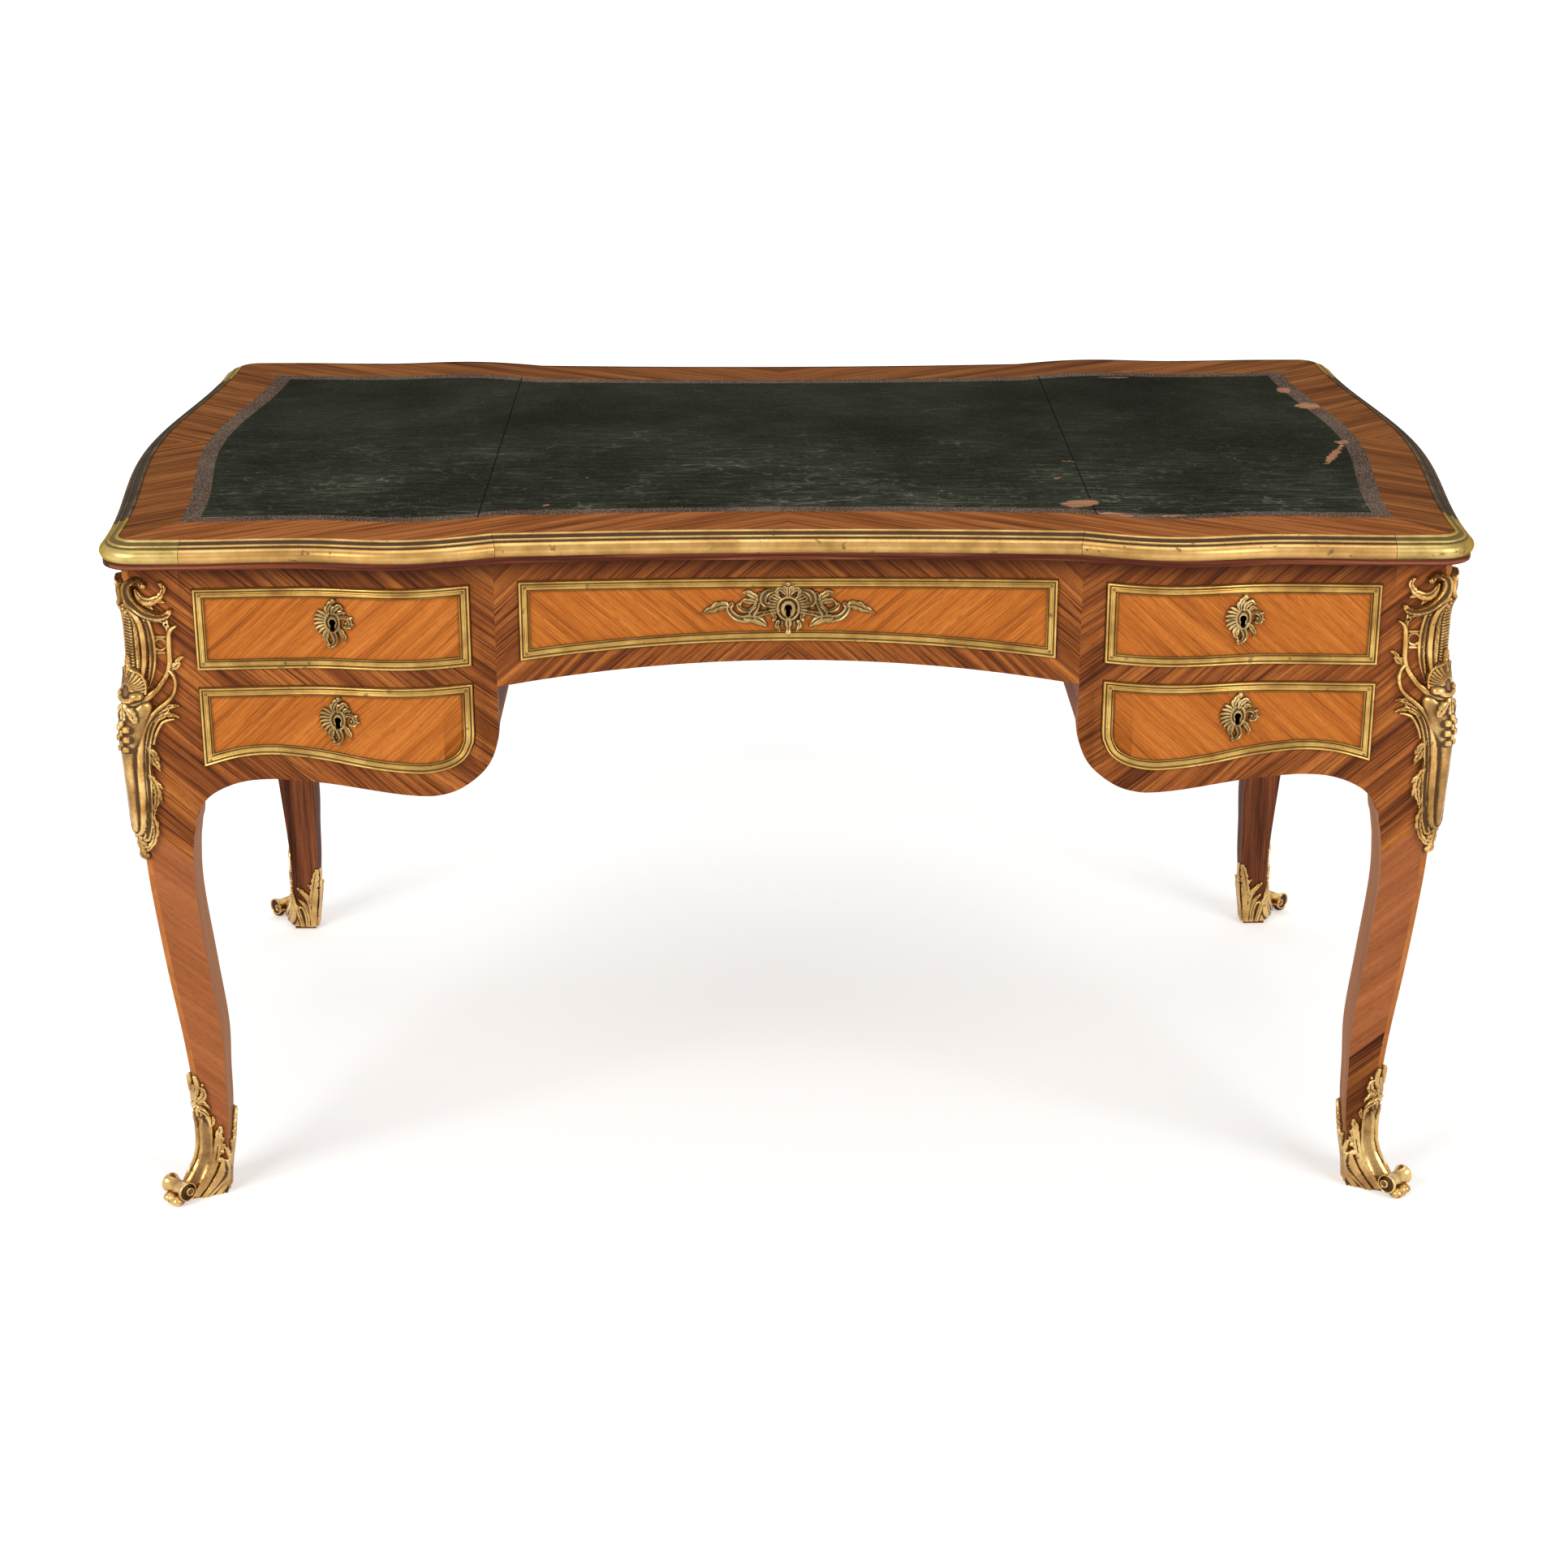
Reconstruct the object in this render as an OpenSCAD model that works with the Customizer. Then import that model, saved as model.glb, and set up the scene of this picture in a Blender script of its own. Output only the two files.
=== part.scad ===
// Writing desk with five drawers, cabriole legs and gilt brass mounts. Millimetres, +Z up.
// Origin: centre of the footprint, on the floor. The drawers open towards -Y.

/* [Overall] */
// Length over the brass rim of the top
desk_len = 1500; // [1420:5:1600]
// Depth over the brass rim of the top
desk_depth = 892; // [820:4:960]
// Height from the floor to the brass rim
desk_h = 780; // [740:5:800]

/* [Top] */
// How far the brass rim stands out beyond the veneer
rim_w = 21; // [18:1:24]
// Height of the brass rim
rim_t = 21; // [20:1:26]
// Thickness of the wooden lipping under the rim
lipping_t = 7; // [5:1:10]
// Step from the outer edge of the rim back to the lipping
lipping_step = 3; // [2:0.5:5]
// How far the brass bead stands above the writing surface
bead_proud = 0.6; // [0.4:0.1:1.2]
// Thickness of veneer and of leather on the top
skin_t = 1; // [0.8:0.1:1.6]
// Outward bow of each end of the top
end_bow = 29; // [10:1:40]
// Half width of the recessed centre between the pedestals
centre_half = 311; // [280:1:330]
// Set-back of the middle of the front behind the corners
centre_back = 33; // [26:1:45]
// Set-back of the front where centre and pedestal meet
mitre_back = 21; // [15:1:25]
// How far the swell over each pedestal stands out beyond the corners
swell_out = 4; // [1:0.5:8]
// Depth of the hollow between swell and corner
hollow_in = 6; // [0:0.5:10]
// Run from the mitre to the swell
swell_run = 100; // [85:1:115]
// Run from the swell to the hollow
hollow_run = 99; // [80:1:115]
// Straight run of the front before the corner
flare_run = 50; // [30:1:70]
// Radius of the corners of the veneered top
corner_r = 22; // [12:1:30]
// Width of veneer along the front and the back
veneer_front = 72; // [50:1:90]
// Width of veneer along the ends
veneer_end = 54; // [40:1:70]
// Width of the tooled band round the leather
band_w = 19; // [12:1:26]
// Distance of each leather seam from the middle
seam_x = 331; // [280:1:380]

/* [Carcase] */
// Overhang of the veneered top beyond the carcase
overhang = 2; // [1:0.5:6]
// Thickness of the front, back and end frames
frame_t = 22; // [20:1:26]
// Height of the rail above the upper drawers
top_rail_h = 26; // [24:1:34]
// Height of the rail between two drawers
mid_rail_h = 20.5; // [19:0.5:26]
// Width of frame between a pedestal drawer and the kneehole
inner_stile_w = 25; // [22:1:32]
// Width of frame between a pedestal drawer and the leg
outer_stile_w = 14; // [12:1:18]
// Width of frame at each side of the centre drawer
centre_stile_w = 26; // [22:1:34]
// Height of apron under the lower drawer where it is lowest
apron_low = 27; // [20:1:34]
// Height of apron under the lower drawer where it is highest
apron_high = 29; // [22:1:36]
// Height of apron under the middle of the centre drawer
arch_apron = 22.5; // [18:0.5:30]
// Rise of the centre arch from its ends to its middle
arch_rise = 25; // [10:1:40]
// Height of the rounded lower corner of each pedestal beside the kneehole
belly_curve_h = 68; // [50:1:76]
// Thickness of the kneehole sides
side_t = 16; // [12:1:18]
// Thickness of the boards that carry the drawers
board_t = 12; // [8:1:14]

/* [Drawers] */
// Gap round each drawer front
drawer_gap = 1; // [0.6:0.1:2]
// Height of the upper pedestal drawer fronts
upper_h = 88.5; // [80:0.5:95]
// Height of the lower pedestal drawer fronts in the middle of their hollow
lower_h = 76; // [70:0.5:84]
// Drop of the lower drawer front from its hollow to its belly
belly_drop = 20; // [10:0.5:26]
// Drop of the lower drawer front from its hollow to the leg side
heel_drop = 12; // [6:0.5:18]
// Height of the rounded corner of the lower drawer front
belly_r = 40; // [30:1:48]
// Height of the centre drawer front at its ends
centre_h = 87; // [78:0.5:92]
// Rise of the lower edge of the centre drawer front
centre_rise = 18; // [8:0.5:24]
// Thickness of the drawer fronts
front_t = 20; // [18:0.5:22]
// Depth of the pedestal drawer boxes behind their fronts
box_depth = 500; // [420:5:580]
// Depth of the centre drawer box behind its front
centre_depth = 460; // [380:5:540]
// Thickness of the drawer sides and backs
box_t = 9; // [7:0.5:11]
// Thickness of the drawer bottoms
bottom_t = 5; // [4:0.5:7]
// Height of each drawer box above the lower edge of its front
box_rise = 2; // [1.5:0.5:4]
// Inset of each drawer box behind the ends of its front
box_inset = 4; // [2:0.5:6]
// Drop of each drawer box below the top of its front
box_drop = 6; // [4:0.5:10]
// Height of the bottom above the lower edge of the drawer sides
bottom_rise = 3; // [1:0.5:5]
// Joint between the boards of a drawer box
glue_gap = 0.1; // [0.1:0.05:0.2]
// Height of the guides beside the drawers
guide_h = 14; // [8:1:20]
// Width of the ledge under the centre drawer
ledge_w = 12; // [8:1:20]
// Running gap between a drawer box and what guides it
run_gap = 0.3; // [0.2:0.1:0.8]
// Margin between the moulding on each end of the desk and the legs
end_margin = 24; // [14:1:40]
// Width of the brass moulding on the drawer fronts
moulding_w = 11; // [8:0.5:14]
// Height of that moulding above the veneer
moulding_t = 4; // [2.5:0.5:6]

/* [Locks] */
// Width of the lock case
lock_w = 48; // [40:1:56]
// Height of the lock case
lock_h = 54; // [50:1:58]
// Depth of the lock case
lock_t = 11; // [9:0.5:12]
// Thickness of the back of the lock case
lock_wall = 2; // [1.5:0.5:3]
// Width of the bolt
bolt_w = 18; // [12:1:24]
// Thickness of the bolt
bolt_t = 4; // [3:0.5:5]
// Height of the bolt
bolt_h = 16; // [12:1:20]
// Travel of the bolt
bolt_travel = 7; // [5:0.5:8]
// Gap round the thrown bolt in its pocket
pocket_gap = 1; // [0.8:0.1:1.5]
// Gap round the bolt in its case
bolt_gap = 0.4; // [0.3:0.1:0.8]
// Distance of the keyhole below the top of a pedestal drawer
key_drop = 38; // [36:1:42]
// Distance of the keyhole below the top of the centre drawer
centre_key_drop = 33; // [32:0.5:35]
// Radius of the round part of the keyhole
key_r = 3.4; // [2.6:0.1:4]
// Width of the slot of the keyhole
key_slot_w = 4.6; // [4.2:0.1:5]
// Length of the slot below the round part
key_slot_h = 9; // [7:0.5:10]
// Thickness of the escutcheons
plate_t = 3; // [2:0.5:5]

/* [Legs] */
// Width of the square leg at the carcase
leg_w = 60; // [56:1:66]
// Width of the square leg at the foot
foot_w = 28; // [24:1:34]
// Height of the curve between the apron and the leg
knee_curve_h = 44; // [36:1:52]
// How far the ankle is drawn in behind the corner
ankle_in = 28; // [18:1:34]
// Set-back of the canted arris on each face of the leg
arris_w = 8; // [5:0.5:10]
// Height of the sabot on the arris
sabot_h = 150; // [120:2:170]
// Reach of the toe of the sabot beyond the corner of the foot, along the diagonal
toe_reach = 46; // [36:1:52]
// Width of the toe of the sabot
toe_w = 34; // [28:1:38]
// Height of the scroll of the toe
toe_h = 34; // [26:1:38]
// Height of the tongue behind the toe
tongue_h = 108; // [90:2:116]
// Reach of the shoe round each face of the foot
shoe_w = 44; // [40:1:50]
// Thickness of the casting of the sabots
sabot_t = 4; // [3:0.5:6]
// Thickness of the sole of the sabots
sole_t = 3; // [2:0.5:5]
// Length of the corner mounts
mount_h = 318; // [280:2:330]
// Reach of the corner mounts over each face of the leg
mount_w = 52; // [44:1:56]
// Drop of the corner mounts below the underside of the top
mount_drop = 12; // [8:1:20]
// Thickness of the corner mounts on the faces of the leg
mount_t = 7; // [4:0.5:10]

/* [Hidden] */

// Colours of the finishes
kingwood = "#8a4a22";
satinwood = "#c77f3a";
oak = "#b08a5a";
gilt = "#a8864a";
green_hide = "#26332a";
brown_hide = "#4a3a34";
steel = "#8c8c88";
mahogany = "#8c4030";

// Half sizes and heights of the top
end_x = desk_len / 2 - rim_w - end_bow;
corner_y = desk_depth / 2 - rim_w - swell_out;
under_z = desk_h - rim_t - lipping_t;
skin_z = desk_h - bead_proud;
swell_x = centre_half + swell_run;
hollow_x = swell_x + hollow_run;
flare_x = end_x - flare_run;
end_run = corner_y - corner_r;

// Outer corner of the legs, and the faces where frames meet legs
leg_x = end_x - overhang;
leg_y = corner_y - overhang;
stile_x = leg_x - leg_w;
stile_y = leg_y - leg_w;

// Pedestal and drawer limits
ped_in = centre_half + inner_stile_w;
ped_out = stile_x - outer_stile_w;
ped_mid = (ped_in + ped_out) / 2;
up_top = under_z - top_rail_h;
up_bot = up_top - upper_h;
low_top = up_bot - mid_rail_h;
low_mid = low_top - lower_h;
belly_z = low_mid - belly_drop;
heel_z = low_mid - heel_drop;
ctr_x = centre_half - centre_stile_w;
ctr_bot = up_top - centre_h;
arch_mid = ctr_bot + centre_rise - arch_apron;
arch_end = arch_mid - arch_rise;
apron_belly = belly_z - apron_low;
apron_hollow = low_mid - apron_high;
leg_join_z = apron_hollow - knee_curve_h;

// Fineness of the curves
spline_steps = 4;
end_steps = 12;
corner_steps = 6;

// Eased blend from 0 to 1
function ease(t) = (1 - cos(180 * t)) / 2;
function mix(a, b, t) = a + (b - a) * t;
// Smooth curve through the points p, with n steps between two of them
function bend(a, b, c, d, t) =
    (2 * b + (c - a) * t + (2 * a - 5 * b + 4 * c - d) * t * t + (3 * b - 3 * c + d - a) * t * t * t) / 2;
function spline(p, n = spline_steps) = [
    for (i = [0 : len(p) - 2]) for (k = [0 : n - 1])
        bend(p[max(i - 1, 0)], p[i], p[i + 1], p[min(i + 2, len(p) - 1)], k / n),
    p[len(p) - 1]];
function flip(p) = [for (i = [len(p) - 1 : -1 : 0]) p[i]];
function mirror_x(p) = flip([for (q = p) [-q[0], q[1]]]);
function mirror_y(p) = flip([for (q = p) [q[0], -q[1]]]);
function arc(c, r, a, b, n) = [for (k = [0 : n]) c + r * [cos(mix(a, b, k / n)), sin(mix(a, b, k / n))]];
// Outward direction at point i of a counter-clockwise loop, longer at its corners
function unit(v) = v / norm(v);
function outward(p, i) = let (n = len(p),
    e = unit(p[i] - p[(i + n - 1) % n]), f = unit(p[(i + 1) % n] - p[i]),
    a = [e[1], -e[0]], b = [f[1], -f[0]]) (a + b) / (1 + a * b);
function grow(p, d) = [for (i = [0 : len(p) - 1]) p[i] + d * outward(p, i)];

// Distance of the veneered edge in front of the middle plane, by place along the front
function edge_y(x) = let (a = abs(x))
    a < centre_half ? corner_y - mix(centre_back, mitre_back, pow(a / centre_half, 2)) :
    a < swell_x ? corner_y - mitre_back
        + (mitre_back + swell_out) * sin(90 * (a - centre_half) / swell_run) :
    a < hollow_x ? corner_y + mix(swell_out, -hollow_in, ease((a - swell_x) / hollow_run)) :
    a < flare_x ? corner_y - mix(hollow_in, 0, ease((a - hollow_x) / (flare_x - hollow_x))) :
    corner_y;
function end_edge(y) = end_x + end_bow * ease(1 - min(abs(y) / end_run, 1));
// Stations along the right half of the front, from the middle outwards
front_xs = concat(
    [for (k = [0 : 5]) centre_half * k / 5],
    [for (k = [1 : 7]) centre_half + swell_run * k / 7],
    [for (k = [1 : 6]) swell_x + hollow_run * k / 6],
    [for (k = [1 : 4]) mix(hollow_x, flare_x, k / 4)]);
n_front = len(front_xs);
i_mitre = 5;
quarter = concat(
    [for (x = front_xs) [x, -edge_y(x)]],
    arc([end_x - corner_r, corner_r - corner_y], corner_r, -90, 0, corner_steps),
    [for (k = [1 : end_steps]) let (y = end_run * (1 - k / end_steps)) [end_edge(y), -y]]);
n_quarter = len(quarter);
right_half = concat(quarter, [for (i = [n_quarter - 2 : -1 : 0]) [quarter[i][0], -quarter[i][1]]]);
n_half = len(right_half);
edge_loop = concat(right_half, [for (i = [n_half - 2 : -1 : 1]) [-right_half[i][0], right_half[i][1]]]);
n_loop = len(edge_loop);

// Loops of the leather, set in from the veneered edge
function leather_loop(out) = let (ex = veneer_end + out, ey = veneer_front + out,
    cx = end_x - ex, cy = corner_y - ey,
    q = concat(
        [for (x = front_xs) if (x < cx - 1) [x, ey - edge_y(x)]],
        [[cx, -cy]],
        [for (k = [1 : end_steps]) let (y = cy * (1 - k / end_steps))
            [end_x + end_bow * ease(1 - y / cy) - ex, -y]]),
    n = len(q),
    h = concat(q, [for (i = [n - 2 : -1 : 0]) [q[i][0], -q[i][1]]]))
    concat(h, [for (i = [len(h) - 2 : -1 : 1]) [-h[i][0], h[i][1]]]);

// Top

module top_board() color(oak)
    translate([0, 0, under_z]) linear_extrude(skin_z - skin_t - under_z) polygon(edge_loop);

module top_lipping() color(mahogany)
    translate([0, 0, under_z]) linear_extrude(lipping_t) difference() {
        polygon(grow(edge_loop, rim_w - lipping_step));
        polygon(edge_loop);
    }

module top_skin(outer, inner) translate([0, 0, skin_z - skin_t]) linear_extrude(skin_t)
    difference() {
        polygon(outer);
        polygon(inner);
    }

module veneer_border() color(kingwood) top_skin(edge_loop, leather_loop(0));
module leather_tooled_border() color(brown_hide) top_skin(leather_loop(0), leather_loop(band_w));

// One of the three green panels, between two seams
module leather_panel(x0, x1) color(green_hide)
    translate([0, 0, skin_z - skin_t]) linear_extrude(skin_t) intersection() {
        polygon(leather_loop(band_w));
        translate([x0, -desk_depth / 2]) square([x1 - x0, desk_depth]);
    }

// Section of the brass rim: distance out from the veneer, height below the rim
rim_section = [
    [0, -rim_t], [0, -1.4], [0.6, -0.4], [2, 0], [3.4, -0.5], [4.2, -1.8],
    [6.6, -3.4], [9.2, -3.9], [10.6, -3.4], [12, -4.3], [12.4, -6.2],
    [15.5, -7], [18.6, -8.8], [20.4, -11.4], [21, -14.2], [20.6, -16.8], [19.4, -19.2], [18, -rim_t]];
rim_k = rim_w / 21;
rim_tk = rim_t / 21;

// Rim along the stations i0 to i1 of the edge, as one swept body
module rim_run(i0, i1) color(gilt) {
    m = len(rim_section);
    n = i1 - i0 + 1;
    pts = [for (i = [i0 : i1]) let (k = (i + n_loop) % n_loop, p = edge_loop[k], o = outward(edge_loop, k))
        for (s = rim_section) let (q = p + o * s[0] * rim_k)
            [q[0], q[1], desk_h + (s[1] == -rim_t ? -rim_t : s[1] * rim_tk)]];
    sides = [for (j = [0 : n - 2]) for (k = [0 : m - 1]) let (a = j * m + k, b = j * m + (k + 1) % m)
        each [[a, b, a + m], [b, b + m, a + m]]];
    polyhedron(points = pts,
        faces = concat(sides, [[for (k = [m - 1 : -1 : 0]) k]], [[for (k = [0 : m - 1]) (n - 1) * m + k]]));
}

// Stations where the corner castings begin and end
i_cast = n_front - 3;
i_cast_end = n_front + corner_steps + 2;
i_back = 2 * (n_quarter - 1);

module rim_front_centre() rim_run(-i_mitre, i_mitre);
module rim_front_right() rim_run(i_mitre, i_cast);
module rim_front_left() rim_run(-i_cast, -i_mitre);
module rim_corners() {
    rim_run(i_cast, i_cast_end);
    rim_run(i_back - i_cast_end, i_back - i_cast);
    rim_run(i_back + i_cast, i_back + i_cast_end);
    rim_run(-i_cast_end, -i_cast);
}
module rim_ends_and_back() {
    rim_run(i_cast_end, i_back - i_cast_end);
    rim_run(i_back - i_cast, i_back + i_cast);
    rim_run(i_back + i_cast_end, n_loop - i_cast_end);
}

// Legs

// Down the leg: share of the height of the knee, share of the draw-in of the ankle, share of the widening
leg_shares = [[0, 0.965, 0], [0.051, 0.98, 0.05], [0.118, 1, 0.17], [0.214, 1, 0.28], [0.308, 0.91, 0.38],
    [0.427, 0.74, 0.56], [0.6, 0.43, 0.63], [0.793, 0.14, 0.66], [0.897, 0.03, 0.77], [0.955, 0.01, 0.88],
    [1.017, 0, 1], [1.3, 0, 1]];
// Height, offset of the outer corner from the carcase corner, and width of the square section
leg_stations = concat(
    [for (q = leg_shares) [q[0] * leg_join_z, -q[1] * ankle_in, mix(foot_w, leg_w, q[2])]],
    [[under_z, 0, leg_w]]);
leg_curve = [for (q = spline(leg_stations, 3)) [q[0], min(q[1], 0), min(q[2], leg_w)]];

// Section of the leg at one station, grown by g, counter-clockwise
function leg_ring(s, g) = let (
    x = leg_x + s[1] + g, y = -leg_y - s[1] - g, w = s[2] + 2 * g, a = arris_w + (2 - sqrt(2)) * g)
    [[x - w, y], [x - a, y], [x, y + a], [x, y + w], [x - w, y + w]];

// Cabriole leg of the front right corner, from z0 up, with g added all round
module leg_body(g = 0, z0 = sole_t) {
    n = len(leg_curve);
    pts = [for (j = [0 : n - 1]) for (q = leg_ring(leg_curve[j], g))
        [q[0], q[1], j == 0 ? z0 : leg_curve[j][0]]];
    sides = [for (j = [0 : n - 2]) for (k = [0 : 4]) let (a = j * 5 + k, b = j * 5 + (k + 1) % 5)
        each [[a, a + 5, b + 5], [a, b + 5, b]]];
    polyhedron(points = pts,
        faces = concat(sides, [[0, 1, 2, 3, 4], [for (k = [4 : -1 : 0]) (n - 1) * 5 + k]]));
}
module leg() color(kingwood) leg_body();

// The half of the space round the corner that faces the front, or the end
module facing(front) translate([leg_x, -leg_y, 0]) rotate([0, 0, -45])
    translate([-desk_len, front ? -desk_len : 0, 0]) cube([2 * desk_len, desk_len, desk_h]);
// What lies on the front face and on the end face of the leg, each drawn from the corner line inwards
module on_leg() {
    intersection() {
        facing(true);
        rotate([90, 0, 0]) linear_extrude(desk_depth) children(0);
    }
    intersection() {
        facing(false);
        rotate([90, 0, 90]) linear_extrude(desk_len) mirror([1, 0]) children(1);
    }
}

// Sabot: a cast shoe round the foot, with a scrolled toe on the diagonal
toe_d = (leg_x + leg_y - 2 * ankle_in) / sqrt(2);
toe_back = toe_d - foot_w;
toe_end = toe_d + toe_reach;
// Side view of the toe: share of the reach, share of the height of the toe, the last ones on its tongue
toe_shares = [[0.8, 0.06], [0.98, 0.32], [1, 0.65], [0.87, 0.94], [0.67, 1], [0.54, 0.8], [0.33, 0.97]];
tongue_shares = [[0.17, 0.48], [0.06, 0.74], [-0.08, 1]];
toe_side = concat([[toe_back, 0], [toe_d + 0.65 * toe_reach, 0]],
    spline(concat([for (q = toe_shares) [toe_d + q[0] * toe_reach, q[1] * toe_h]],
        [for (q = tongue_shares) [toe_d + q[0] * toe_reach, q[1] * tongue_h]]), 2),
    [[toe_back, tongue_h]]);
// Half of the plan of the toe, which narrows towards its scroll
toe_plan = [[toe_back, toe_w / 2], [toe_d + 0.17 * toe_reach, toe_w / 2],
    [toe_d + 0.48 * toe_reach, 0.38 * toe_w], [toe_d + 0.74 * toe_reach, 0.35 * toe_w], [toe_end, 0.2 * toe_w]];
// Upper edge of the shoe on a face: share of the reach inwards, share of the height
shoe_edge = [[0, 1], [0.12, 0.86], [0.25, 0.7], [0.4, 0.62], [0.55, 0.74], [0.68, 0.62], [0.8, 0.72],
    [0.92, 0.62], [1.1, 0.6]];
shoe_x0 = ankle_in - 2 * sabot_t;
module shoe_face(c) polygon(concat(
    [[c + foot_w, 0], [c + foot_w, sabot_h]],
    [for (e = shoe_edge) [c - shoe_x0 - e[0] * shoe_w, e[1] * sabot_h]],
    [[c - shoe_x0 - 2 * shoe_w, 0]]));
module sabot() color(gilt) difference() {
    union() {
        intersection() {
            leg_body(sabot_t, 0);
            on_leg() {
                shoe_face(leg_x);
                shoe_face(leg_y);
            }
        }
        rotate([0, 0, -45]) translate([0, (leg_x - leg_y) / sqrt(2), 0]) intersection() {
            translate([0, desk_len / 2, 0]) rotate([90, 0, 0]) linear_extrude(desk_len) polygon(toe_side);
            linear_extrude(desk_h)
                polygon(concat(toe_plan, [for (q = flip(toe_plan)) [q[0], -q[1]]]));
        }
    }
    leg_body();
}

// Corner mount, down its inner edge: share of the width on a face, share of the height
mount_edge = [[0.1, 1], [0.36, 0.995], [0.69, 0.98], [0.76, 0.96], [0.7, 0.94], [0.48, 0.91], [0.85, 0.88],
    [0.74, 0.845], [0.88, 0.825], [0.78, 0.757], [0.98, 0.725], [0.75, 0.68], [0.81, 0.64], [0.72, 0.6],
    [0.57, 0.572], [0.8, 0.55], [0.81, 0.518], [0.63, 0.464], [0.5, 0.44], [0.77, 0.4], [0.69, 0.344],
    [0.85, 0.3], [0.58, 0.25], [0.73, 0.21], [0.46, 0.156], [0.5, 0.11], [0.27, 0.06], [0.19, 0.02]];
mount_bot = under_z - mount_drop - mount_h;
module mount_face(c) polygon(concat(
    [[c + mount_w, mount_bot], [c + mount_w, mount_bot + mount_h]],
    [for (e = mount_edge) [c - e[0] * mount_w, mount_bot + e[1] * mount_h]],
    [[c - arris_w, mount_bot]]));
module corner_mount() color(gilt) difference() {
    intersection() {
        leg_body(mount_t);
        on_leg() {
            mount_face(leg_x);
            mount_face(leg_y);
        }
    }
    leg_body();
}

// Copies one front right corner piece to all four corners
module four_corners() for (sx = [0, 1], sy = [0, 1]) mirror([sx, 0, 0]) mirror([0, sy, 0]) children();

// Frames

// Plan of a band that follows the front, from d0 to d1 in front of the carcase face
function face_y(x) = edge_y(x) - overhang;
pedestal_xs = concat([for (x = front_xs) if (x >= centre_half && x < stile_x - 1) x], [stile_x]);
centre_xs = let (h = [for (x = front_xs) if (x <= centre_half) x])
    concat([for (i = [len(h) - 1 : -1 : 1]) -h[i]], h);
module band(xs, d0, d1) linear_extrude(desk_h) polygon(concat(
    [for (x = xs) [x, -face_y(x) - d1]], [for (x = flip(xs)) [x, -face_y(x) - d0]]));
// A drawing in x and z, as a plate on the curved front
module on_front(xs, d0, d1) intersection() {
    band(xs, d0, d1);
    translate([0, -desk_depth / 4, 0]) rotate([90, 0, 0]) linear_extrude(desk_depth / 2) children();
}

// Lower edge of the right pedestal, from the leg to the kneehole
apron_run = stile_x - centre_half;
knee_shares = [[0, 0], [0.018, 0.3], [0.064, 0.66], [0.15, 0.93], [0.254, 1], [0.391, 0.91]];
belly_shares = [[0.275, 0.015], [0.196, 0], [0.122, 0.09], [0.049, 0.34], [0.012, 0.65], [0, 1]];
apron_edge = spline(concat(
    [for (q = knee_shares) [stile_x - q[0] * apron_run, leg_join_z + q[1] * knee_curve_h]],
    [[centre_half + 0.43 * apron_run, mix(apron_hollow, apron_belly, 0.6)]],
    [for (q = belly_shares) [centre_half + q[0] * apron_run, apron_belly + q[1] * belly_curve_h]]));
// Outline of the lower drawer front of the right pedestal, counter-clockwise
ped_w = ped_out - ped_in;
corner_shares = [[0.003, 0.75], [0.031, 0.35], [0.087, 0.1], [0.167, 0], [0.25, 0.025]];
lower_loop = concat(
    [[ped_in, low_top], [ped_in, belly_z + belly_r]],
    spline(concat(
        [for (q = corner_shares) [ped_in + q[0] * ped_w, belly_z + q[1] * belly_r]],
        [[ped_in + 0.41 * ped_w, mix(belly_z, low_mid, 0.3)],
            [ped_in + 0.6 * ped_w, mix(belly_z, low_mid, 0.75)], [ped_in + 0.75 * ped_w, low_mid],
            [ped_in + 0.875 * ped_w, mix(low_mid, heel_z, 0.21)], [ped_out, heel_z]]), 2),
    [[ped_out, low_top]]);
upper_loop = [[ped_in, up_bot], [ped_out, up_bot], [ped_out, up_top], [ped_in, up_top]];
function arch(x) = 1 - pow(x / ctr_x, 2);
centre_loop = concat(
    [for (k = [-8 : 8]) let (x = ctr_x * k / 8) [x, ctr_bot + centre_rise * arch(x)]],
    [[ctr_x, up_top], [-ctr_x, up_top]]);

// Pocket in the rail for the bolt of a lock
function lock_y(x) = face_y(x) - front_t + lock_t / 2;
module bolt_pocket(x, z) translate([x - bolt_w / 2 - pocket_gap, -lock_y(x) - bolt_t / 2 - pocket_gap, z])
    cube([bolt_w + 2 * pocket_gap, bolt_t + 2 * pocket_gap, bolt_travel + 2 * pocket_gap + drawer_gap]);

module pedestal_outline() polygon(concat(
    [[stile_x, under_z], [centre_half, under_z]], flip(apron_edge)));
module front_frame_right() color(kingwood) difference() {
    on_front(pedestal_xs, -frame_t, 0) difference() {
        pedestal_outline();
        polygon(grow(upper_loop, drawer_gap));
        polygon(grow(lower_loop, drawer_gap));
    }
    bolt_pocket(ped_mid, up_top);
    bolt_pocket(ped_mid, low_top);
}
module front_frame_left() mirror([1, 0, 0]) front_frame_right();

module centre_outline() polygon(concat(
    [for (k = [-8 : 8]) let (x = centre_half * k / 8) [x, arch_end + arch_rise * (1 - pow(k / 8, 2))]],
    [[centre_half, under_z], [-centre_half, under_z]]));
module front_frame_centre() color(kingwood) difference() {
    on_front(centre_xs, -frame_t, 0) difference() {
        centre_outline();
        polygon(grow(centre_loop, drawer_gap));
    }
    bolt_pocket(0, up_top);
}
module back_frame() color(kingwood) mirror([0, 1, 0]) {
    on_front(pedestal_xs, -frame_t, 0) pedestal_outline();
    mirror([1, 0, 0]) on_front(pedestal_xs, -frame_t, 0) pedestal_outline();
    on_front(centre_xs, -frame_t, 0) centre_outline();
}

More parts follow.
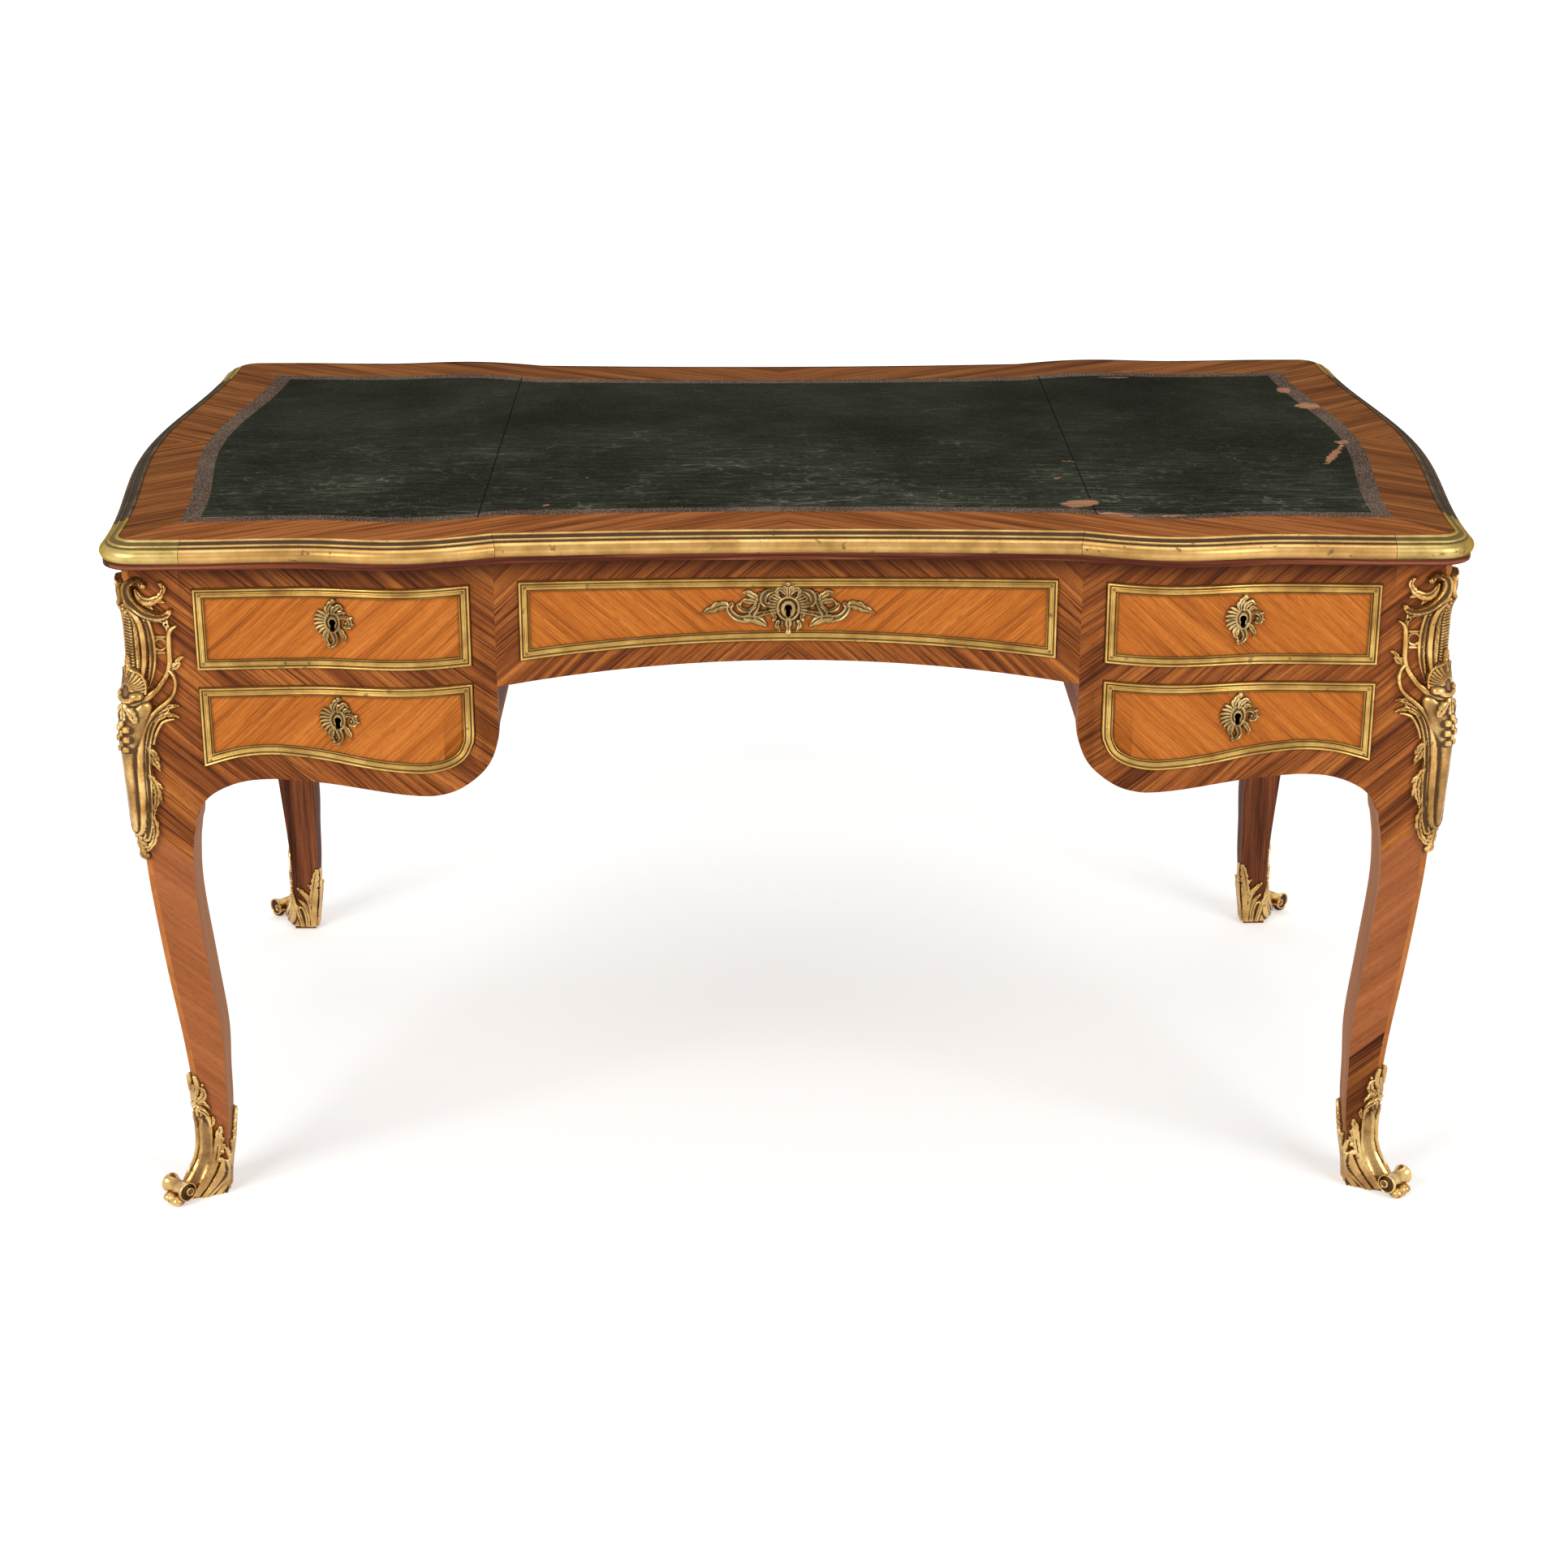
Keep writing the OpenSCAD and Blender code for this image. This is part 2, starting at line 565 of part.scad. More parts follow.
// End apron of the right side, bowed in plan like the top
end_lower = spline(concat(
    [for (q = knee_shares) [q[0] * apron_run - stile_y, leg_join_z + q[1] * knee_curve_h]],
    [[-stile_y * 0.35, mix(apron_hollow, apron_belly, 0.5)], [0, apron_belly]]));
end_drawing = concat(end_lower, [for (i = [len(end_lower) - 2 : -1 : 0]) [-end_lower[i][0], end_lower[i][1]]]);
end_ys = [for (k = [-8 : 8]) stile_y * k / 8];
module on_end(d0, d1) intersection() {
    linear_extrude(desk_h) polygon(concat(
        [for (y = end_ys) [end_edge(y) - overhang + d1, y]],
        [for (y = flip(end_ys)) [end_edge(y) - overhang + d0, y]]));
    rotate([90, 0, 90]) linear_extrude(desk_len) children();
}
module end_apron_right() color(kingwood) on_end(-frame_t, 0)
    polygon(concat(end_drawing, [[stile_y, under_z], [-stile_y, under_z]]));
module end_apron_left() mirror([1, 0, 0]) end_apron_right();

// Plan of the space between the frames, the legs and the end aprons of the right half
inside_front = concat(
    [for (x = front_xs) if (x < stile_x - 1) [x, frame_t - face_y(x)]],
    [[stile_x, frame_t - face_y(stile_x)], [stile_x, -stile_y]]);
inside_end = [for (y = end_ys) [end_edge(y) - overhang - frame_t, y]];
module inside(x0, x1) intersection() {
    polygon(concat(inside_front, inside_end, flip([for (q = inside_front) [q[0], -q[1]]])));
    translate([x0, -desk_depth]) square([x1 - x0, 2 * desk_depth]);
}

// Side of the kneehole, between the front and back frames
knee_z = apron_belly + belly_curve_h;
module kneehole_side_right() color(kingwood)
    translate([0, 0, knee_z]) linear_extrude(under_z - knee_z) inside(centre_half, centre_half + side_t);
module kneehole_side_left() mirror([1, 0, 0]) kneehole_side_right();

// Heights that the drawer boxes run at, and the faces that guide them
up_run = up_bot + box_rise;
low_run = low_mid + box_rise;
ctr_run = ctr_bot + centre_rise + box_rise;
box_in = ped_in + box_inset;
box_out = ped_out - box_inset;
// A board between the kneehole side and the end apron, with a guide at each side of the drawer
module drawer_board(z) translate([0, 0, z - run_gap]) {
    translate([0, 0, -board_t]) linear_extrude(board_t) inside(centre_half + side_t, desk_len);
    linear_extrude(guide_h) {
        inside(centre_half + side_t, box_in - run_gap);
        inside(box_out + run_gap, desk_len);
    }
}
module drawer_boards_right() color(oak) {
    drawer_board(up_run);
    drawer_board(low_run);
}
module drawer_boards_left() mirror([1, 0, 0]) drawer_boards_right();

// Runners of the centre drawer: two bearers with a ledge, between the front and back frames
ctr_box = ctr_x - box_inset;
ledge_z = ctr_run - run_gap - board_t;
module centre_runners() color(oak) for (s = [0, 1]) mirror([s, 0, 0]) translate([0, 0, ledge_z]) {
    linear_extrude(under_z - ledge_z) inside(ctr_box + run_gap, centre_half);
    linear_extrude(board_t) inside(ctr_box - ledge_w, centre_half);
}

// Drawers of the right half; the left ones are their mirror images

// Keyhole, cut from the front back to the depth y1
module keyhole(x, z, y1 = 0) translate([x, y1, z]) rotate([90, 0, 0]) linear_extrude(desk_depth) {
    circle(r = key_r, $fn = 32);
    translate([-key_slot_w / 2, -key_r - key_slot_h + 2]) square([key_slot_w, key_slot_h]);
}
module lock_space(x, z) translate([x - lock_w / 2, -lock_y(x) - lock_t / 2, z - lock_h])
    cube([lock_w, lock_t + frame_t, 2 * lock_h]);

module drawer_front(xs, loop, x, z, drop) color(satinwood) difference() {
    on_front(xs, -front_t, 0) polygon(loop);
    lock_space(x, z);
    keyhole(x, z - drop);
}
module drawer_moulding(xs, loop) color(gilt) on_front(xs, 0, moulding_t) difference() {
    polygon(loop);
    polygon(grow(loop, -moulding_w));
}
// Box behind a drawer front: two sides, the bottom between them, and the back on the bottom
module drawer_box(xs, x0, x1, z0, z1, y_back) color(oak) {
    for (x = [x0, x1 - box_t]) box_board(xs, x, x + box_t, z0, z1, y_back);
    xa = x0 + box_t + glue_gap;
    xb = x1 - box_t - glue_gap;
    za = z0 + bottom_rise;
    zb = za + bottom_t + glue_gap;
    box_board(xs, xa, xb, za, za + bottom_t, y_back);
    translate([xa, y_back - box_t, zb]) cube([xb - xa, box_t, z1 - zb]);
}
// A board from x0 to x1, from the rear face of the drawer front back to y_back
module box_board(xs, x0, x1, z0, z1, y_back) translate([0, 0, z0]) linear_extrude(z1 - z0) intersection() {
    polygon(concat([for (x = xs) [x, front_t - face_y(x)]], [[xs[len(xs) - 1], y_back], [xs[0], y_back]]));
    translate([x0, -desk_depth]) square([x1 - x0, 2 * desk_depth]);
}
module lock_case(x, z, drop) color(gilt) difference() {
    translate([x - lock_w / 2, -lock_y(x) - lock_t / 2, z - lock_h]) cube([lock_w, lock_t, lock_h]);
    translate([x - bolt_w / 2 - bolt_gap, -lock_y(x) - bolt_t / 2 - bolt_gap, z - bolt_h - 2 * bolt_gap])
        cube([bolt_w + 2 * bolt_gap, bolt_t + 2 * bolt_gap, bolt_h + lock_h]);
    keyhole(x, z - drop, lock_t / 2 - lock_wall - lock_y(x));
}
module lock_bolt(x, z) color(steel)
    translate([x - bolt_w / 2, -lock_y(x) - bolt_t / 2, z - bolt_h - bolt_gap]) cube([bolt_w, bolt_t, bolt_h]);

// Small escutcheon: a shell on one side of the keyhole and a scroll on the other
small_plate = [[-2, 26], [5, 22], [8, 15], [8, 7], [14, 9], [20, 8], [22, 2], [18, -4], [12, -4], [11, -10],
    [7, -15], [3, -22], [-5, -26], [-3, -19], [-8, -14], [-13, -10], [-17, -3], [-20, 3], [-16, 10],
    [-9, 12], [-9, 18], [-5, 24]];
// The same casting sits on both sides, so side is -1 for the drawers on the left
module small_escutcheon(side, z) color(gilt) difference() {
    mirror([side < 0 ? 1 : 0, 0, 0]) on_front(pedestal_xs, 0, plate_t)
        translate([ped_mid, z]) mirror([side < 0 ? 1 : 0, 0]) polygon(small_plate);
    keyhole(side * ped_mid, z);
}
// Right half of the wide escutcheon of the centre drawer
wide_plate = [[0, 20], [6, 20.5], [10, 17], [17, 16], [22, 10], [30, 14], [38, 11], [36, 5], [46, 2],
    [56, 4], [64, 8], [70, 5], [74, 1], [90, 0], [74, -4], [60, -7], [48, -8], [38, -10], [30, -7],
    [24, -10], [16, -9], [10, -13], [5, -21], [0, -22]];
module centre_escutcheon() color(gilt) difference() {
    on_front(centre_xs, 0, plate_t) translate([0, up_top - centre_key_drop])
        polygon(concat(wide_plate, [for (q = flip(wide_plate)) if (q[0] > 0) [-q[0], q[1]]]));
    keyhole(0, up_top - centre_key_drop);
}

module upper_front() drawer_front(pedestal_xs, upper_loop, ped_mid, up_top, key_drop);
module lower_front() drawer_front(pedestal_xs, lower_loop, ped_mid, low_top, key_drop);
module centre_front() drawer_front(centre_xs, centre_loop, 0, up_top, centre_key_drop);
module upper_moulding() drawer_moulding(pedestal_xs, upper_loop);
module lower_moulding() drawer_moulding(pedestal_xs, lower_loop);
module centre_moulding() drawer_moulding(centre_xs, centre_loop);
ped_back = box_depth + front_t - face_y(ped_mid);
ctr_back = centre_depth + front_t - face_y(0);
module upper_box() drawer_box(pedestal_xs, box_in, box_out, up_run, up_top - box_drop, ped_back);
module lower_box() drawer_box(pedestal_xs, box_in, box_out, low_run, low_top - box_drop, ped_back);
module centre_box() drawer_box(centre_xs, -ctr_box, ctr_box, ctr_run, up_top - box_drop, ctr_back);

// Brass mouldings of the blind drawer fronts on the back and of the panels on the ends
end_panel_y = stile_y - end_margin;
end_panel = [[-end_panel_y, heel_z], [-end_panel_y / 2, low_mid], [0, belly_z + apron_low / 2],
    [end_panel_y / 2, low_mid], [end_panel_y, heel_z]];
end_loop = concat(spline(end_panel), [[end_panel_y, up_top], [-end_panel_y, up_top]]);
module blind_mouldings() {
    mirror([0, 1, 0]) centre_moulding();
    for (s = [0, 1]) mirror([s, 0, 0]) {
        mirror([0, 1, 0]) upper_moulding();
        mirror([0, 1, 0]) lower_moulding();
        color(gilt) on_end(0, moulding_t) difference() {
            polygon(end_loop);
            polygon(grow(end_loop, -moulding_w));
        }
    }
}

top_board();
top_lipping();
veneer_border();
leather_tooled_border();
leather_panel(-desk_len, -seam_x);  // leather_left
leather_panel(-seam_x, seam_x);  // leather_centre
leather_panel(seam_x, desk_len);  // leather_right
rim_front_left();
rim_front_centre();
rim_front_right();
rim_corners();
rim_ends_and_back();
mirror([1, 0, 0]) leg();  // leg_front_left
leg();  // leg_front_right
mirror([1, 0, 0]) mirror([0, 1, 0]) leg();  // leg_back_left
mirror([0, 1, 0]) leg();  // leg_back_right
four_corners() sabot();  // sabots
four_corners() corner_mount();  // corner_mounts
front_frame_left();
front_frame_centre();
front_frame_right();
back_frame();
end_apron_left();
end_apron_right();
kneehole_side_left();
kneehole_side_right();
drawer_boards_left();
drawer_boards_right();
centre_runners();
blind_mouldings();
mirror([1, 0, 0]) upper_front();  // upper_left_front
mirror([1, 0, 0]) upper_box();  // upper_left_box
mirror([1, 0, 0]) upper_moulding();  // upper_left_moulding
small_escutcheon(-1, up_top - key_drop);  // upper_left_escutcheon
lock_case(-ped_mid, up_top, key_drop);  // upper_left_lock
lock_bolt(-ped_mid, up_top);  // upper_left_bolt
mirror([1, 0, 0]) lower_front();  // lower_left_front
mirror([1, 0, 0]) lower_box();  // lower_left_box
mirror([1, 0, 0]) lower_moulding();  // lower_left_moulding
small_escutcheon(-1, low_top - key_drop);  // lower_left_escutcheon
lock_case(-ped_mid, low_top, key_drop);  // lower_left_lock
lock_bolt(-ped_mid, low_top);  // lower_left_bolt
centre_front();
centre_box();
centre_moulding();
centre_escutcheon();
lock_case(0, up_top, centre_key_drop);  // centre_lock
lock_bolt(0, up_top);  // centre_bolt
upper_front();  // upper_right_front
upper_box();  // upper_right_box
upper_moulding();  // upper_right_moulding
small_escutcheon(1, up_top - key_drop);  // upper_right_escutcheon
lock_case(ped_mid, up_top, key_drop);  // upper_right_lock
lock_bolt(ped_mid, up_top);  // upper_right_bolt
lower_front();  // lower_right_front
lower_box();  // lower_right_box
lower_moulding();  // lower_right_moulding
small_escutcheon(1, low_top - key_drop);  // lower_right_escutcheon
lock_case(ped_mid, low_top, key_drop);  // lower_right_lock
lock_bolt(ped_mid, low_top);  // lower_right_bolt
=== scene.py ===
"""Bureau plat in kingwood and satinwood with gilt bronze mounts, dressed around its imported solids.

Sizes are millimetres until a mesh is made. +Z is up, the drawers face -Y, the origin is on the floor.
"""
import math

import bmesh
import bpy
import numpy as np
from mathutils import Matrix, Vector


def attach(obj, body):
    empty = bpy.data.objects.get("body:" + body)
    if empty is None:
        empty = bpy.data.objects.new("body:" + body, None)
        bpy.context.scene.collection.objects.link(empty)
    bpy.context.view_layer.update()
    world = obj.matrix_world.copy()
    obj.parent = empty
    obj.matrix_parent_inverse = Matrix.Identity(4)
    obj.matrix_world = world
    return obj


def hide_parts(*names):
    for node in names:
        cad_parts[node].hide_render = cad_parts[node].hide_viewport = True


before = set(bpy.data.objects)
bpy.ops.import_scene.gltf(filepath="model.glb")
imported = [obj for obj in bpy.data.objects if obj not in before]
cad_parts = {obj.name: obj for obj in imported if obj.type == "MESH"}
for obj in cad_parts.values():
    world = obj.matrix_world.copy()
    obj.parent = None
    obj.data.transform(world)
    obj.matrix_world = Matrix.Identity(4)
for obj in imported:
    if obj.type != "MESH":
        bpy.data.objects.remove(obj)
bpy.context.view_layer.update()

scene = bpy.context.scene

# Camera. It stands in front of the desk, a little left of its middle, well above the top, and looks
# down at it through a long lens. Its place follows from the edges of the top and from the feet.
IMAGE_PX = 1932
FOCAL_PX = 3600
SENSOR_MM = 36
# Place of the eye in metres, and the turns of the camera in degrees
EYE = (-0.0423, -3.3569, 1.6133)
LOOK_DOWN, LOOK_ASIDE, TILT = 20.665, -0.727, -0.033

camera = bpy.data.objects.new("camera", bpy.data.cameras.new("camera"))
camera.data.sensor_width = SENSOR_MM
camera.data.lens = SENSOR_MM * FOCAL_PX / IMAGE_PX
camera.matrix_world = (
    Matrix.Translation(EYE)
    @ Matrix.Rotation(math.radians(LOOK_ASIDE), 4, "Z")
    @ Matrix.Rotation(math.radians(90 - LOOK_DOWN), 4, "X")
    @ Matrix.Rotation(math.radians(TILT), 4, "Z")
)
scene.collection.objects.link(camera)
scene.camera = camera
scene.view_settings.view_transform = "Standard"

# Studio. A white floor that runs out of sight, a white surround, and soft lamps from both sides of the
# front and from above, so that each foot has a faint shadow towards the middle and the back.
FLOOR_HALF = 30.0
FLOOR_TONE = "#f2f2f2"
SURROUND_LIGHT = 0.3
# Light that the floor gives off by itself: near the desk, and further off between two distances
FLOOR_LIFT = 0.45
FAR_FROM, FAR_TO, FAR_LIFT = 1.1, 2.8, 0.9
LAMPS = [
    # place, point looked at, width, power in watts
    ((-2.6, -2.7, 2.3), (0.0, 0.0, 0.45), 1.9, 78),
    ((2.6, -2.7, 2.3), (0.0, 0.0, 0.45), 1.9, 62),
    ((0.0, 0.6, 3.3), (0.0, 0.0, 0.7), 2.6, 40),
]


def linear(tone):
    """A hex sRGB tone as linear light: below 0.04045 it is divided by 12.92, above it raised to 2.4."""
    part = np.array([int(tone[i:i + 2], 16) for i in (1, 3, 5)]) / 255
    light = np.where(part <= 0.04045, part / 12.92, ((part + 0.055) / 1.055) ** 2.4)
    return (*light.tolist(), 1.0)


def wire(tree, node, inputs):
    """Gives inputs of a node, by name or number, a value, an output of another node, or another node,
    which stands for its first output in use."""
    for name, value in inputs.items():
        if isinstance(value, bpy.types.Node):
            value = next(socket for socket in value.outputs if socket.enabled)
        if isinstance(value, bpy.types.NodeSocket):
            tree.links.new(value, node.inputs[name])
        else:
            node.inputs[name].default_value = value


def add(tree, kind, inputs=(), stops=(), **settings):
    """Adds a node: settings are its own properties, inputs are what wire gives it, and stops are the
    places and tones of a colour ramp."""
    node = tree.nodes.new("ShaderNode" + kind)
    for name, value in settings.items():
        setattr(node, name, value)
    wire(tree, node, dict(inputs))
    for number, (place, tone) in enumerate(stops):
        ramp = node.color_ramp.elements
        stop = ramp[number] if number < 2 else ramp.new(place)
        stop.position = place
        stop.color = linear(tone)
    return node


def material(name):
    """A new material: its node tree, its Principled shader and itself."""
    made = bpy.data.materials.new(name)
    made.use_nodes = True
    return made.node_tree, made.node_tree.nodes["Principled BSDF"], made


def direct_rays(tree):
    """1 for rays from the camera and for those that come off or through a glossy piece, 0 for the rest."""
    rays = add(tree, "LightPath")
    direct = add(tree, "Math", {0: rays.outputs["Is Camera Ray"], 1: rays.outputs["Is Glossy Ray"]},
        operation="MAXIMUM")
    return add(tree, "Math", {0: direct, 1: rays.outputs["Is Transmission Ray"]}, operation="MAXIMUM")


world = bpy.data.worlds.new("white_surround")
scene.world = world
world.use_nodes = True
tree = world.node_tree
direct = direct_rays(tree)
dim = add(tree, "Background", {"Color": (1, 1, 1, 1), "Strength": SURROUND_LIGHT})
bright = add(tree, "Background", {"Color": (1, 1, 1, 1), "Strength": 1.0})
both = add(tree, "MixShader", {0: direct, 1: dim, 2: bright})
wire(tree, tree.nodes["World Output"], {"Surface": both})

# Painted studio floor: matt white, lifted for the eye and for reflections, more so away from the desk
tree, shader, floor_white = material("painted_studio_floor")
tree.nodes.remove(shader)
direct = direct_rays(tree)
place = add(tree, "TexCoord").outputs["Object"]
away = add(tree, "VectorMath", {0: place}, operation="LENGTH")
away = add(tree, "MapRange", {0: away, 1: FAR_FROM, 2: FAR_TO, 3: FLOOR_LIFT, 4: FAR_LIFT})
lift = add(tree, "Math", {0: direct, 1: away}, operation="MULTIPLY")
glow = add(tree, "Emission", {"Color": (1, 1, 1, 1), "Strength": lift})
matt = add(tree, "BsdfDiffuse", {"Color": linear(FLOOR_TONE)})
paint = add(tree, "AddShader", {0: matt, 1: glow})
wire(tree, tree.nodes["Material Output"], {"Surface": paint})

mesh = bpy.data.meshes.new("studio_floor")
corners = [(x * FLOOR_HALF, y * FLOOR_HALF, 0) for x, y in ((-1, -1), (1, -1), (1, 1), (-1, 1))]
mesh.from_pydata(corners, [], [(0, 1, 2, 3)])
mesh.materials.append(floor_white)
floor = bpy.data.objects.new("studio_floor", mesh)
scene.collection.objects.link(floor)

for number, (place, target, width, power) in enumerate(LAMPS):
    lamp = bpy.data.lights.new(f"softbox_{number}", "AREA")
    lamp.size = width
    lamp.energy = power
    holder = bpy.data.objects.new(f"softbox_{number}", lamp)
    holder.location = place
    holder.rotation_euler = (Vector(target) - Vector(place)).to_track_quat("-Z", "Y").to_euler()
    scene.collection.objects.link(holder)

# Legs. Four cabriole legs of solid hardwood, veneered in kingwood on the two outer faces, with a paler
# slip on the canted arris; the front legs are plain polished wood inside, the back legs dark kingwood.

# Outer faces of the legs at the top, from the middle of the desk to the right and to the front
LEG_X, LEG_Y = 698, 419
# Width of a leg's faces at the top and at the foot
LEG_W, FOOT_W = 60, 28
# Heights of the knee, of the underside of the top and of the sole's upper side
LEG_JOIN_Z, UNDER_Z, SOLE_Z = 468, 752, 3
# How far the ankle is drawn in along each axis, and the width that the arris takes off each face
ANKLE_IN, ARRIS_W = 28, 8
# Points in each span of the leg's curve
LEG_STEPS = 7
# Up the leg: share of the height of the knee, share of the draw-in of the ankle, share of the widening
LEG_SHARES = [(0, 0.965, 0), (0.051, 0.98, 0.05), (0.118, 1, 0.17), (0.214, 1, 0.28), (0.308, 0.91, 0.38),
    (0.427, 0.74, 0.56), (0.6, 0.43, 0.63), (0.793, 0.14, 0.66), (0.897, 0.03, 0.77), (0.955, 0.01, 0.88),
    (1.017, 0, 1), (1.3, 0, 1)]
# Each corner of the desk, its side and whether it is in front
CORNERS = [("front_left", -1, 1), ("front_right", 1, 1), ("back_left", -1, -1), ("back_right", 1, -1)]
# Angle of the grain to the length of the desk
VENEER_SLANT = 42
# Where in the log the veneer of the left and of the right side was cut, in metres
FRAME_SEEDS = {-1: 0.23, 1: 0.61}


def spline(points, steps):
    """Catmull-Rom curve: in each span the cubic whose slope at a point is half the step from the point
    before it to the point after it."""
    p = np.asarray(points, float)
    wide = np.vstack([p[:1], p, p[-1:]])
    a, b, c, d = (wide[i:len(p) - 1 + i, None] for i in range(4))
    t = (np.arange(steps) / steps)[None, :, None]
    curve = (2 * b + (c - a) * t + (2 * a - 5 * b + 4 * c - d) * t**2 + (3 * b - 3 * c + d - a) * t**3) / 2
    return np.vstack([curve.reshape(-1, p.shape[1]), p[-1:]])


def tube_faces(rows, cols, joined=False):
    """Quads between neighbouring rows of a closed section, with a cap on each end unless they join up."""
    i, j = np.meshgrid(np.arange(rows if joined else rows - 1), np.arange(cols), indexing="ij")
    down, along = (i + 1) % rows, (j + 1) % cols
    quads = np.stack([i * cols + j, down * cols + j, down * cols + along, i * cols + along], -1)
    caps = [] if joined else [list(range(cols)), list(range((rows - 1) * cols, rows * cols))]
    return quads.reshape(-1, 4).tolist() + caps


def piece(name, points, faces, finish, body, slot, nodes=(), paint=None, crease=35, dirt=None):
    """Makes one piece of the desk from points in millimetres: faces turned outwards, shaded smooth up to
    the crease angle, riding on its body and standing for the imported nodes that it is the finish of.
    Dirt says for each point how much patina it holds, from 0 to 1."""
    mesh = bpy.data.meshes.new(name)
    mesh.from_pydata((np.asarray(points, float) / 1000).tolist(), [], faces)
    if paint is not None:
        mesh.polygons.foreach_set("material_index", np.asarray(paint, np.int32))
    if dirt is not None:
        amount = np.clip(np.asarray(dirt, np.float32), 0, 1)
        mesh.attributes.new("patina", "FLOAT", "POINT").data.foreach_set("value", amount)
    for one in finish if isinstance(finish, (list, tuple)) else [finish]:
        mesh.materials.append(one)
    return placed(name, mesh, body, slot, nodes, crease)


# Points this close, in metres, are one point
SAME_PLACE = 2e-6


def placed(name, mesh, body, slot, nodes, crease, turn_out=True):
    """Merges doubled points, turns the faces outwards and shades the mesh before it is fixed."""
    work = bmesh.new()
    work.from_mesh(mesh)
    bmesh.ops.remove_doubles(work, verts=work.verts, dist=SAME_PLACE)
    if turn_out:
        bmesh.ops.recalc_face_normals(work, faces=work.faces)
    work.to_mesh(mesh)
    work.free()
    mesh.shade_smooth()
    mesh.set_sharp_from_angle(angle=math.radians(crease))
    return fixed(name, mesh, body, slot, nodes)


def fixed(name, mesh, body, slot, nodes):
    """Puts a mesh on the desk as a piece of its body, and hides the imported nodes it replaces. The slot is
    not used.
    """
    made = bpy.data.objects.new(name, mesh)
    scene.collection.objects.link(made)
    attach(made, body)
    if nodes:
        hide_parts(*nodes)
    return made


def dressed(node, finish, body, slot, crease=30):
    """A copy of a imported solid, its loose triangles merged, that takes a finish of its own."""
    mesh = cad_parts[node].data.copy()
    mesh.materials.clear()
    mesh.materials.append(finish)
    return placed(node + "_finished", mesh, body, slot, [node], crease, turn_out=False)


# Upward share of the normal from which a face counts as level
LEVEL = 0.8


def lay_grain(made, slant, rising=1, seed=0.0, upright=False):
    """Stores for each corner of each face how far it lies along the grain, across it and into the wood.
    The grain leaves the middle of the desk at the slant: on a face to the front or back the first axis
    is the distance from the middle sideways, on an end the same distance is counted back round the leg.
    On a level face the distance from back to front takes the place of the height.
    If upright is true, the faces that look inwards have their grain running up the piece."""
    mesh = made.data
    at = np.zeros(len(mesh.loops), np.int32)
    mesh.loops.foreach_get("vertex_index", at)
    points = np.zeros(len(mesh.vertices) * 3)
    mesh.vertices.foreach_get("co", points)
    points = points.reshape(-1, 3)[at]
    total = np.zeros(len(mesh.polygons), np.int32)
    mesh.polygons.foreach_get("loop_total", total)
    normal = np.zeros(len(mesh.polygons) * 3)
    mesh.polygons.foreach_get("normal", normal)
    normal = np.repeat(normal.reshape(-1, 3), total, axis=0)
    endwise = np.abs(normal[:, 0]) > np.abs(normal[:, 1])
    inner = np.where(endwise, normal[:, 0] * points[:, 0], normal[:, 1] * points[:, 1]) < 0
    sideways = np.where(endwise, np.abs(points[:, 1]) + (LEG_X - LEG_Y) / 1000, np.abs(points[:, 0]))
    inwards = np.where(endwise, points[:, 0] * 0.1, points[:, 1] * 0.1)
    height = np.where(np.abs(normal[:, 2]) > LEVEL, points[:, 1], points[:, 2])
    angle = np.radians(np.where(inner & upright, 90, slant))
    along = sideways * np.cos(angle) + rising * height * np.sin(angle)
    across = sideways * np.sin(angle) - rising * height * np.cos(angle)
    grain = np.stack([along, across, inwards + seed], -1).astype(np.float32)
    mesh.attributes.new("grain", "FLOAT_VECTOR", "CORNER").data.foreach_set("vector", grain.ravel())


# Length, width and depth of the patches that pores show as, in millimetres, coarse enough to be seen
PORE = 9, 0.8, 2


